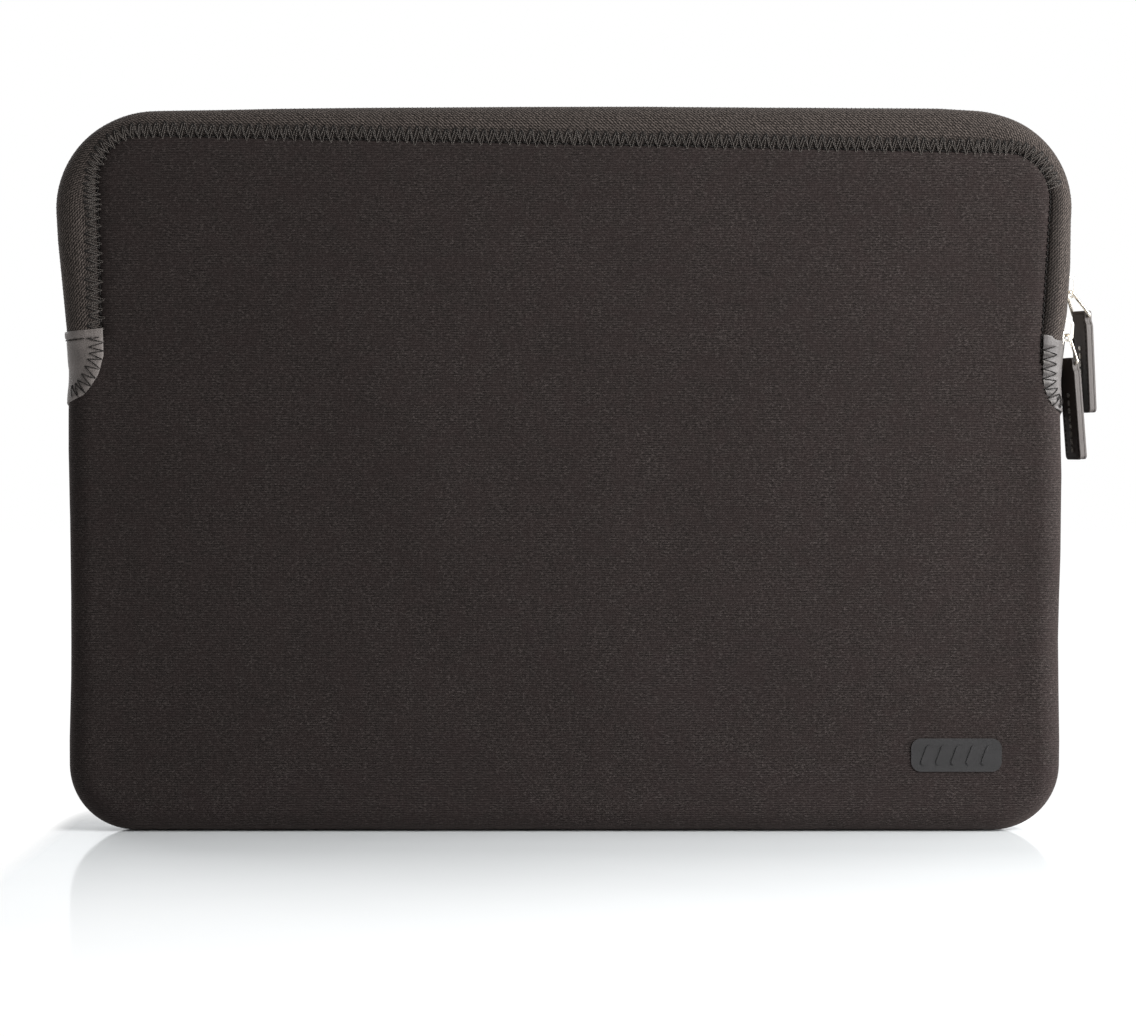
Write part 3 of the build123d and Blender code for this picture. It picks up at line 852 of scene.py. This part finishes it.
def face_fill(ring, spacing):
    """Fills a closed ring of (x, z) points with an even net of triangles. Returns new points and faces."""
    low, high = ring.min(0), ring.max(0)
    rows = np.arange(low[1] + spacing, high[1] - spacing * 0.5, spacing * 0.866)
    extra = []
    for k, z in enumerate(rows):
        xs = np.arange(low[0] + spacing + (k % 2) * spacing / 2, high[0] - spacing * 0.5, spacing)
        extra += [(x, z) for x in xs]
    extra = np.array(extra)
    a, b = ring, np.roll(ring, -1, 0)
    px, pz = extra[:, :1], extra[:, 1:]
    crosses = (a[None, :, 1] > pz) != (b[None, :, 1] > pz)
    slope = (b[None, :, 0] - a[None, :, 0]) * (pz - a[None, :, 1]) / (b[None, :, 1] - a[None, :, 1] + 1e-12)
    inside = (crosses & (px < slope + a[None, :, 0])).sum(1) % 2 == 1
    near = np.sqrt(((extra[:, None] - ring[None]) ** 2).sum(2)).min(1)
    extra = extra[inside & (near > spacing * 0.6)]
    n = len(ring)
    both = [Vector(p) for p in np.concatenate([ring, extra]).tolist()]
    made = delaunay_2d_cdt(both, [(k, (k + 1) % n) for k in range(n)], [], 1, 1e-6)
    source = [o[0] for o in made[3]]
    return extra, [tuple(source[v] for v in f) for f in made[2]]


def shell(name, side, starts, rows, lift, edge_lift, thickness, smooth_inside=False):
    """A cloth shell over the front or the back: rows of quads round the edge and a net of triangles inside."""
    fractions = np.concatenate([[0.0, 0.012, 0.03, 0.06], np.linspace(0.1, 1.0, rows)])
    t = starts[None] + (INNER_T - starts[None]) * fractions[:, None]
    s = np.broadcast_to(S_EVEN, t.shape)
    from_edge = t - starts[None]
    lifts = lift + edge_lift * np.exp(-((from_edge / 0.45) ** 2))
    points = skin(side, s, t, lifts, puffed=not smooth_inside).reshape(-1, 3)
    cloth = unrolled(s, t).reshape(-1, 3)
    faces = grid_faces(len(fractions), COLUMNS, closed=True, flip=side == BACK)
    base = (len(fractions) - 1) * COLUMNS
    ring = points[base:][:, [0, 2]]
    extra, net = face_fill(ring, GRID_STEP)
    x, z = extra[:, 0], extra[:, 1]
    rise = seated(side, x, z, crown(x, z, side) + on_face(z))
    more = np.stack([x, side * (HALF_THICK + lift + rise), z], 1)
    if smooth_inside:
        more[:, 1] = side * (HALF_THICK + lift)
    for f in net:
        a, b, c = (np.concatenate([ring, extra])[v] for v in f[:3])
        turn = (b[0] - a[0]) * (c[1] - a[1]) - (b[1] - a[1]) * (c[0] - a[0])
        good = (turn > 0) == (side == FRONT)
        f = f if good else f[::-1]
        faces.append(tuple(base + v for v in f))
    points = np.concatenate([points, more])
    cloth = np.concatenate([cloth, np.stack([x, z, np.zeros(len(extra))], 1)])
    obj = piece(name, points, faces, cloth)
    return applied(obj, "SOLIDIFY", thickness=thickness * MM, offset=-1.0, use_even_offset=False)


def band(side, name):
    """The padded band between the zip and the panel's stitched edge."""
    start, end = over_top(153.5, 161.5)
    s = np.linspace(start, end, int((end - start) / BAND_STEP) + 1)
    edge = panel_start(side, s)
    u = np.concatenate([[0, 0.015, 0.04, 0.08], np.linspace(0.13, 0.9, 14), [0.94, 0.975, 1.0]])
    t = GROOVE + (edge - GROOVE)[None] * u[:, None]
    into = np.minimum(t - GROOVE, edge[None] - t)
    grid = np.broadcast_to(s, t.shape)
    laid = along(grid, t)
    laid[..., 2] = periodic(EDGE_T[side], grid) - t
    points = skin(side, grid, t, -0.55 * np.exp(-((into / 0.5) ** 2)))
    faces = grid_faces(len(t), len(s), flip=side == BACK)
    obj = piece(name, points.reshape(-1, 3), faces, laid.reshape(-1, 3))
    return applied(obj, "SOLIDIFY", thickness=BAND_THICK * MM, offset=-1.0, use_even_offset=False)


def closed_section(name, side, ends, step, section, flat=False):
    """A closed cross-section of (t or y, lift) points swept along the outline, with capped ends."""
    s = np.linspace(*ends, int((ends[1] - ends[0]) / step) + 1)
    n, m = len(section), len(s)
    rows = []
    for a, b in section:
        if flat:
            xz = periodic(POINTS, s) + periodic(INWARD, s) * (b + set_out(s))[:, None]
            rows.append(np.stack([xz[:, 0], np.full(m, float(a)), xz[:, 1]], 1))
        else:
            rows.append(skin(side, s, np.full(m, float(a)), b - set_out(s), puffed=False))
    run = np.cumsum([0] + [math.dist(section[k], section[k - 1]) for k in range(1, n)])
    cloth = np.concatenate([np.stack([s, np.full(m, run[k]), np.zeros(m)], 1) for k in range(n)])
    faces = []
    for k in range(n):
        w = (k + 1) % n
        faces += [(k * m + i, w * m + i, w * m + i + 1, k * m + i + 1) for i in range(m - 1)]
    faces.append(tuple(k * m for k in range(n)))
    faces.append(tuple(k * m + m - 1 for k in range(n))[::-1])
    return piece(name, np.concatenate(rows), faces, cloth)


def stands_for(obj, material, slot, *nodes):
    """Gives a piece its material and hides those CAD nodes, which it stands in for. The slot is not used."""
    dress(obj, material)
    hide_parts(*nodes)


for side, word in WORDS.items():
    edge = panel_start(side, S_EVEN)
    panel = shell(f"neoprene_{word}", side, edge, rows=17, lift=0.0, edge_lift=-0.5, thickness=PANEL_THICK)
    stands_for(panel, KNIT, "neoprene_knit", f"{word}_panel", f"{word}_panel_mouth")
    fold_out(panel, side)

    lip = np.maximum(5.5 * on_zip(S_EVEN), 0.02)
    under = {"lift": -SHELL - 0.05, "edge_lift": 0.0, "thickness": LINING_THICK}
    lining = shell(f"lining_{word}", side, lip, rows=12, smooth_inside=True, **under)
    stands_for(lining, PLUSH, "plush_lining", f"{word}_lining", f"{word}_lining_mouth")
    fold_out(lining, side)

    edging = band(side, f"zip_band_{word}_cloth")
    stands_for(edging, TWILL, "band_twill", f"zip_band_{word}", f"zip_band_{word}_mouth")
    fold_out(edging, side)

    tape = closed_section(f"zip_tape_{word}_cloth", side, TAPE_ENDS, 1.6, TAPE_SECTION)
    stands_for(tape, TAPE_CLOTH, "zip_tape", f"zip_tape_{word}", f"zip_tape_{word}_mouth")
    fold_out(tape, side)

# The strip behind the teeth, sewn to the front lining.
guard = closed_section("zip_guard_strip", FRONT, GUARD_ENDS, 2.0, GUARD_SECTION, flat=True)
stands_for(guard, PLUSH, "plush_lining", "zip_guard")
fold_out(guard, FRONT)


# ---------------------------------------------------------------- the zip's teeth

COIL_PITCH, COIL_WIRE, TURN_POINTS = 1.32, 0.34, 12
SPLIT_END = s_at(1, 203.0)


def coil(side, word):
    """One side of the coil. Its turns meet the other side's over the top, and not where the sliders run."""
    low, high = over_top(158.4, 165.2)
    turns = int((high - low) / COIL_PITCH)
    phase = np.linspace(0, 2 * math.pi * turns, turns * TURN_POINTS + 1)
    s = low + phase / (2 * math.pi) * COIL_PITCH + (COIL_PITCH / 2 if side == BACK else 0)
    head = np.where(s < SPLIT_END, 0.82, 0.82 - 0.72 * smooth((s - SPLIT_END) / 5))
    c, w = np.cos(phase), np.sin(phase)
    square = np.sign(c) * np.abs(c) ** 0.6
    middle, reach = (COIL_OUT - COIL_WIRE + head) / 2, (COIL_OUT - COIL_WIRE - head) / 2
    lift = -1.42 + 0.72 * np.sign(w) * np.abs(w) ** 0.7 - set_out(s)
    path = skin(side, s, middle - reach * square, lift, puffed=False)
    obj = threads(f"zip_teeth_{word}", [path], COIL_WIRE)
    stands_for(obj, COIL_PLASTIC, "zip_coil", f"zip_coil_{word}", f"zip_coil_{word}_mouth")
    fold_out(obj, side)


for side, word in WORDS.items():
    coil(side, word)


# ---------------------------------------------------------------- sewing

BETWEEN_HOLES = (0.0, 0.12, 0.35, 0.65, 0.88)


def needle_holes(line, at, reach):
    """The points at those distances along a line of (s, t) points, and the directions square to it there."""
    run = run_along(line)
    s, t = np.interp(at, run, line[:, 0]), np.interp(at, run, line[:, 1])
    ds = np.interp(at + reach, run, line[:, 0]) - np.interp(at - reach, run, line[:, 0])
    dt = np.interp(at + reach, run, line[:, 1]) - np.interp(at - reach, run, line[:, 1])
    norm = np.maximum(np.hypot(ds, dt), 1e-9)
    return s, t, -dt / norm, ds / norm


def sewn_path(side, s, t, lift, raised, puffed=True):
    """A thread through needle holes, with lift(k, f) for its height at a share f of the way past hole k."""
    ends = zip(s[:-1], s[1:], t[:-1], t[1:])
    path = []
    for k, (a, b, c, d) in enumerate(ends):
        path += [(a + (b - a) * f, c + (d - c) * f, lift(k, f)) for f in BETWEEN_HOLES]
    s, t, lifts = np.array(path).T
    return skin(side, s, t, lifts + raised, puffed=puffed)


def zigzag(side, line, inner, outer, pitch, high=0.2, phase=0.0, swell=0.0):
    """A zigzag thread that crosses a line of (s, t) points, dipping into the cloth at each needle hole."""
    sunk, length = 0.32, run_along(line)[-1]
    at = (np.arange(int(length / (pitch / 2)) + 1) + phase) * (pitch / 2)
    at = at[at <= length]
    s, t, ns, nt = needle_holes(line, at, 0.4)
    off = np.where(np.arange(len(at)) % 2 == 0, inner, outer)
    jitter = np.array([noise.noise(Vector((k * 1.7, side, 5.5))) for k in range(len(at))])
    off = off + jitter * 0.9
    s, t = s + ns * off + jitter[::-1] * 0.55, t + nt * off
    return sewn_path(side, s, t, lambda k, f: -sunk + (sunk + high) * math.sin(math.pi * f) ** 0.5, swell)


def dashes(side, line, length, gap, steps, lifts, offset=0.0, puffed=True):
    """Short stitches along a line of (s, t) points, with their lifts at those steps of their length."""
    run = run_along(line)
    paths, at = [], 0.0
    while at + length < run[-1]:
        f = at + length * np.array(steps)
        s, t = np.interp(f, run, line[:, 0]), np.interp(f, run, line[:, 1])
        paths.append(skin(side, s, t + offset, lifts, puffed=puffed))
        at += length + gap
    return paths


# The heights on the right where the seam and the zigzag start, and on the left where both end. Below its start the
# front's zigzag is hidden in the band's folded edge.
SEAM_FROM, ZIGZAG_FROM, SEAM_TO = 158.0, {FRONT: 214.0, BACK: 158.0}, 161.8
ZIGZAG_PITCH, THREAD_R, THICK_R, TOPSTITCH_R, LOWER_R = 3.1, 0.15, 0.26, 0.14, 0.2
DASH_STEPS = (*BETWEEN_HOLES, 1.0)


def edge_line(side, start, end):
    """The panel's stitched edge as a line of (s, t) points."""
    s = np.arange(start, end, 1.0)
    return np.stack([s, periodic(EDGE_T[side], s)], 1)


for side, word in WORDS.items():
    line = edge_line(side, *over_top(SEAM_FROM, SEAM_TO))
    open_line = edge_line(side, *over_top(ZIGZAG_FROM[side], SEAM_TO))
    path = zigzag(side, open_line, 0.3, -4.6, ZIGZAG_PITCH, high=0.1, phase=0.5)
    sewn(threads(f"seam_under_{word}", [path], THICK_R), DARK_THREAD, side)
    overlap = edge_line(side, TOP_MIDDLE - 6, TOP_MIDDLE + 5)
    paths = [
        zigzag(side, open_line, 1.6, -4.4, ZIGZAG_PITCH),
        zigzag(side, open_line, 0.3, -4.0, ZIGZAG_PITCH, high=0.25, phase=0.42),
        zigzag(side, overlap, 0.5, -4.2, 2.9, phase=0.5, swell=0.2),
    ]
    sewn(threads(f"seam_zigzag_{word}", paths, THREAD_R), SEAM_THREAD, side)
    paths = dashes(side, line, 1.5, 0.7, DASH_STEPS, (-0.3, 0.0, 0.14, 0.14, 0.0, -0.3), 0.15)
    sewn(threads(f"seam_cover_{word}", paths, THICK_R), DARK_THREAD, side)
    inner = np.stack([np.arange(*over_top(157.0, 164.5), 1.0)] * 2, 1)
    inner[:, 1] = GROOVE + 0.5
    paths = dashes(side, inner, 2.4, 0.6, DASH_STEPS, (-0.7, 0.0, -0.42, -0.42, 0.0, -0.7))
    sewn(threads(f"zip_topstitch_{word}", paths, TOPSTITCH_R), DARK_THREAD, side)

# The overcast seam where the two panels meet below the zip.
paths = []
t = np.array([-1.5, -1.0, 0.0, 1.0, 1.5])
for k in np.arange(-(LENGTH - s_at(-1, 139.0)), s_at(1, 136.0), 3.0):
    path = skin(FRONT, k + t * 0.5, np.abs(t), [-0.15, 0.12, 0.3, 0.12, -0.15])
    path[:, 1] = t
    path[:, 2] = np.maximum(path[:, 2], 0.24)
    paths.append(path)
sewn(threads("lower_seam_thread", paths, LOWER_R), DARK_THREAD)


# ---------------------------------------------------------------- end tabs

# Each tab's top, and the x of its straight edge down to the height where its curved end turns in. That end runs
# through two (x, height) points of the front view. The stitches reach so far in and out, at that pitch.
LEFT_TAB = {"side": -1, "top": 165.7, "edge": 152.6, "turn": 157.0, "mid": (157.0, 147.4)}
LEFT_TAB.update(toe=(164.6, 140.2), stitch=(4.8, 0.3, 2.8), gather=0.10, hem=True)
RIGHT_TAB = {"side": 1, "top": 163.7, "edge": 158.1, "turn": 149.0, "mid": (159.5, 144.2)}
RIGHT_TAB.update(toe=(165.6, 136.6), stitch=(4.9, 0.4, 3.1), gather=0.42, hem=False)
TAB_TAPER, TAB_THICK, TAB_THREAD_R, TAB_THREAD_LIFT, TAB_INNER_ROWS = 4.5, 0.9, 0.17, 0.24, 4
HEM_AT, HEM_STEPS = 2.9, (0.0, 0.15, 0.5, 0.85, 1.0)
HEM_LIFTS = 0.72 + np.array([-0.4, 0.08, 0.16, 0.08, -0.4])
NOTCH_Z = 154.8


def circle_through(a, b, c):
    """Centre and radius of the circle through three points."""
    ax, ay, bx, by, cx, cy = *a, *b, *c
    aa, bb, cc = ax**2 + ay**2, bx**2 + by**2, cx**2 + cy**2
    d = 2 * (ax * (by - cy) + bx * (cy - ay) + cx * (ay - by))
    ux = (aa * (by - cy) + bb * (cy - ay) + cc * (ay - by)) / d
    uy = (aa * (cx - bx) + bb * (ax - cx) + cc * (bx - ax)) / d
    return (ux, uy), math.dist((ux, uy), a)


def tab_reach(tab, z):
    """How far round the edge a tab reaches at a height."""
    centre, radius = circle_through((tab["edge"], tab["turn"]), tab["mid"], tab["toe"])
    x = tab["edge"]
    if z < tab["turn"]:
        x = centre[0] - math.sqrt(max(radius**2 - (z - centre[1]) ** 2, 0))
    return float(t_of_depth(max(float(half_wide(z)) - x, 0.0)))


def tab_lift(tab, side, s, t, reach, zs):
    """The height of a tab's leather above the bare skin: puckered, gathered by its stitches and hemmed."""
    to_edge, to_top = reach[None] - t, np.abs(tab["top"] - zs)[None]
    pinch = np.sin(s * 2 * math.pi / tab["stitch"][2]) * tab["gather"] * np.exp(-((to_edge / 4.0) ** 2))
    pucker = 0.16 * wobble(s, t, side, 5.0, 12.0 + tab["side"])
    pucker = pucker * smooth(t / 3.0) + pinch * smooth(t / 4.0) * smooth((to_top - 1.0) / 3.0)
    if tab["hem"]:
        hem = 0.30 * np.exp(-(((to_top - 1.2) / 1.25) ** 4))
        hem = hem - 0.22 * np.exp(-(((to_top - HEM_AT) / 0.45) ** 2))
    else:
        hem = -0.3 * np.exp(-((to_top / 1.2) ** 2))
    return 0.55 + hem + pucker - 0.35 * np.exp(-((to_edge / 0.9) ** 2))


def end_tab(tab, name, node, material):
    """A leather tab wrapped round the side of the sleeve over the zip's end."""
    which, toe = tab["side"], tab["toe"][1] + 1.0
    zs = np.linspace(tab["top"], toe, 46)
    taper = np.sqrt(1 - (1 - np.clip((zs - toe) / TAB_TAPER, 0.02, 1)) ** 2)
    reach = np.array([max(tab_reach(tab, z), 0.6) for z in zs]) * taper
    s = np.array([s_at(which, z) for z in zs])
    if which > 0:
        s, zs, reach = s[::-1], zs[::-1], reach[::-1]
    inner = np.minimum(GROOVE, reach * 0.5)
    rows = [inner * f for f in np.linspace(0, 1, TAB_INNER_ROWS, endpoint=False)]
    rows += [inner + (reach - inner) * f for f in np.concatenate([np.linspace(0, 0.9, 15), [0.95, 1.0]])]
    t = np.array(rows)
    grid = np.broadcast_to(s, t.shape)
    points, cloth, faces = [], [], []
    for side in (FRONT, BACK):
        lift = tab_lift(tab, side, grid, t, reach, zs)
        points.append(skin(side, grid, t, lift, puffed=False).reshape(-1, 3))
        cloth.append(along(grid, t * side).reshape(-1, 3))
    count, m = len(t), len(s)
    for half in (0, 1):
        for j in range(count - 1):
            for i in range(m - 1):
                if which > 0 and j < TAB_INNER_ROWS and min(zs[i], zs[i + 1]) > NOTCH_Z:
                    continue
                quad = [(j, i), (j, i + 1), (j + 1, i + 1), (j + 1, i)]
                ids = [r * m + c + (count * m if half and r > 0 else 0) for r, c in quad]
                faces.append(tuple(ids[::-1] if half else ids))
    points = np.concatenate(points)
    points[:m, 1] = 0.0
    obj = piece(name, points, faces, np.concatenate(cloth))
    loose = lambda bm: [v for v in bm.verts if not v.link_faces]
    edited(obj, lambda bm: bmesh.ops.delete(bm, geom=loose(bm), context="VERTS"))
    applied(obj, "SOLIDIFY", thickness=TAB_THICK * MM, offset=-1.0, use_even_offset=False)
    applied(obj, "BEVEL", width=0.18 * MM, segments=2, limit_method="ANGLE", angle_limit=math.radians(50))
    stands_for(obj, material, "tab_leather", node)
    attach(obj, "sleeve")
    paths = []
    keep = (zs < tab["top"] - (3.2 if tab["hem"] else 1.2)) & (zs > toe + 1.2)
    line = np.stack([s, reach], 1)[keep]
    for side in (FRONT, BACK):
        paths.append(tab_zigzag(side, line, *tab["stitch"]))
        if tab["hem"]:
            across = np.arange(GROOVE + 0.6, reach[np.argmax(zs)] - 0.5, 0.5)
            hem = np.stack([np.full(len(across), s_at(which, tab["top"] - HEM_AT)), across], 1)
            paths += dashes(side, hem, 1.8, 0.7, HEM_STEPS, HEM_LIFTS, puffed=False)
    sewn(threads(name + "_stitches", paths, TAB_THREAD_R), DARK_THREAD)


def tab_zigzag(side, line, inner, outer, pitch):
    """The long stitches over a tab's curved edge: on the leather at one end, on the cloth at the other."""
    s, t, ns, nt = needle_holes(line, np.arange(0, run_along(line)[-1], pitch / 2), 0.5)
    sign = np.where(nt < 0, -1, 1)
    even = np.arange(len(s)) % 2 == 0
    off = np.where(even, -inner, outer)
    s, t = s + ns * sign * off, np.maximum(t + nt * sign * off, 0.1)

    def lift(k, f):
        a, b = (0.75, 0.05) if even[k] else (0.05, 0.75)
        return a + (b - a) * f - 0.45 * (1 - math.sin(math.pi * f) ** 0.4) + 0.32 * math.sin(math.pi * f)

    return sewn_path(side, s, t, lift, TAB_THREAD_LIFT, puffed=False)


end_tab(LEFT_TAB, "end_tab_left_leather", "end_tab_left", LEFT_LEATHER)
end_tab(RIGHT_TAB, "end_tab_right_leather", "end_tab_right", RIGHT_LEATHER_PAINTED_SHADE)


# ---------------------------------------------------------------- metal and pulls kept or rebuilt

KEPT = {
    PLATE: ["slider_upper", "slider_lower"],
    NICKEL: ["link_upper", "link_lower", "zip_stop_left", "zip_stop_right"],
    BRIGHT: ["pull_studs_upper", "pull_studs_lower"],
    RUBBER: ["badge"],
}
for material, nodes in KEPT.items():
    for node in nodes:
        dress(frame["nodes"][node], material)


# The pulls: their length, how far above the bar they start, the half widths of neck and strap, and their layers as
# (from, to, inset). A stitch takes those steps along the points of the seam.
PULL_LONG, PULL_TOP, PULL_NECK, PULL_WIDE = 34.0, 1.9, 4.2, 5.0
PULL_LAYERS = ((-1.3, -0.45, 0.0), (-0.45, 0.45, 0.12), (0.45, 1.3, 0.0))
PULL_STITCH, PULL_STITCHES, PULL_SEAM, PULL_THREAD_R = [0, 1, 3, 5, 6], 50, 400, 0.13


def pull_strap(node, lean):
    """A pull of dark leather in three layers with paler edges, lean degrees off plumb, for the CAD strap."""
    hinge = next(j for j in frame["record"]["behaviour"]["joints"] if j["name"] == f"{node}_swing")
    bar, axis = Vector(hinge["pos_m"]) / MM, hinge["axis"]
    twist = math.atan2(axis[0], -axis[1])
    turn = np.array(Matrix.Rotation(twist, 3, "Z") @ Matrix.Rotation(-math.radians(lean), 3, "Y"))
    top, foot = PULL_TOP, PULL_TOP - PULL_LONG
    right = [(PULL_NECK, top), (PULL_NECK, -1.5), (PULL_WIDE, -2.9), (PULL_WIDE, foot)]
    left = [(-x, z) for x, z in right]
    outline = rounded((left[:1] + right + left[:0:-1])[::-1], [0.5, 0.5, 1.4, 1.4, 0.5, 0.5, 0.8, 0.8], 0.25)
    ring, _ = evenly(outline, 150)
    middle, half = np.array([0.0, (top + foot) / 2]), np.array([PULL_WIDE, PULL_LONG / 2])
    n = len(ring)
    points, faces, slots = [], [], []
    for low, high, inset in PULL_LAYERS:
        start = len(points) * n
        soft = 0.16 if inset == 0 else 0.03
        pairs = ((low, inset + soft), (low + soft, inset), (high - soft, inset), (high, inset + soft))
        for x, pull_in in pairs:
            offset = middle + (ring - middle) * (1 - pull_in / half)
            points.append(np.stack([np.full(n, x), offset[:, 0], offset[:, 1]], 1))
        faces += grid_faces(4, n, closed=True, start=start)
        faces.append(tuple(range(start, start + n)))
        faces.append(tuple(range(start + 3 * n, start + 4 * n))[::-1])
        slots += [1] * 3 * n + [0, 0]
    obj = piece(f"{node}_strap", (turn @ np.concatenate(points).T).T + np.array(bar), faces, shade=False)
    edited(obj, lambda bm: bmesh.ops.recalc_face_normals(bm, faces=bm.faces))
    dress(obj, PULL_FACE, PULL_EDGE)
    obj.data.polygons.foreach_set("material_index", slots)
    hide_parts(node)
    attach(obj, node)
    seam = []
    path = middle + (evenly(outline, PULL_SEAM)[0] - middle) * (1 - 1.0 / half)
    lifts = 1.3 + np.array([-0.2, 0.04, 0.1, 0.04, -0.2])
    for face in (-1, 1):
        for a in np.linspace(0, len(path), PULL_STITCHES, endpoint=False).astype(int):
            idx = (a + np.array(PULL_STITCH)) % len(path)
            co = np.stack([face * lifts, path[idx, 0], path[idx, 1]], 1)
            seam.append((turn @ co.T).T + np.array(bar))
    sewn(threads(f"{node}_strap_stitches", seam, PULL_THREAD_R, 5), DARK_THREAD, body=node)


pull_strap("pull_upper", 3.0)
pull_strap("pull_lower", 5.0)


# ---------------------------------------------------------------- floor, light and camera


def area_light(name, place, size, power):
    """A square lamp that shines at the middle of the sleeve."""
    data = bpy.data.lights.new(name, "AREA")
    data.shape, data.size, data.size_y = "RECTANGLE", size, size
    data.energy = power
    light = bpy.data.objects.new(name, data)
    light.location = place
    light.rotation_mode = "QUATERNION"
    light.rotation_quaternion = (Vector((0.0, 0.0, 0.12)) - Vector(place)).to_track_quat("-Z", "Y")
    bpy.context.scene.collection.objects.link(light)


def staged(name, corners, material):
    """A flat sheet of the studio, which is no part of the sleeve."""
    mesh = bpy.data.meshes.new(name)
    mesh.from_pydata(corners, [], [(0, 1, 2, 3)])
    obj = bpy.data.objects.new(name, mesh)
    bpy.context.scene.collection.objects.link(obj)
    dress(obj, material)
    return obj


FLOOR_HALF, UNDER_FEET = 4.0, -0.0002
floor = [(x * FLOOR_HALF, y * FLOOR_HALF, 0) for x, y in ((-1, -1), (1, -1), (1, 1), (-1, 1))]
staged("floor", floor, floor_material()).location.z = UNDER_FEET

# The sky: white round the horizon and greyer overhead.
world = bpy.data.worlds.new("studio")
world.use_nodes = True
tree = world.node_tree
way, parts, sky = (tree.nodes.new("ShaderNode" + kind) for kind in ("TexCoord", "SeparateXYZ", "ValToRGB"))
tree.links.new(way.outputs["Generated"], parts.inputs["Vector"])
tree.links.new(parts.outputs["Z"], sky.inputs["Fac"])
for element, (at, grey) in zip(sky.color_ramp.elements, ((0.3, 1.0), (0.75, 0.38))):
    element.position, element.color = at, (grey, grey, grey, 1)
tree.links.new(sky.outputs["Color"], tree.nodes["Background"].inputs["Color"])
tree.nodes["Background"].inputs["Strength"].default_value = 1.0
bpy.context.scene.world = world

area_light("key", (0.68, -0.50, 0.42), 0.6, 18)
area_light("side", (1.3, -0.05, 0.22), 0.5, 18)
area_light("back", (-1.0, 1.4, 0.8), 0.8, 12)
card = [(-3.4, -2.0, -0.001), (2.4, -2.4, -0.001), (2.4, -2.4, 2.8), (-3.4, -2.0, 2.8)]
staged("flag", card, flag_material()).visible_camera = False

# The photograph's width, and its scale in pixels per millimetre.
PHOTO_W, PHOTO_SCALE = 1136, 3.024
LENS, SENSOR = 120.0, 36.0
TILT = math.radians(1.2)
camera_data = bpy.data.cameras.new("camera")
camera_data.lens, camera_data.sensor_width = LENS, SENSOR
camera = bpy.data.objects.new("camera", camera_data)
distance = PHOTO_W / PHOTO_SCALE * MM * LENS / SENSOR
target = Vector((0.0014, -HALF_THICK * MM, 0.1041))
back = Vector((0, -math.cos(TILT), math.sin(TILT)))
camera.location = target + back * distance
camera.rotation_mode = "QUATERNION"
camera.rotation_quaternion = (-back).to_track_quat("-Z", "Y")
bpy.context.scene.collection.objects.link(camera)
bpy.context.scene.camera = camera
bpy.context.scene.view_settings.view_transform = "Standard"
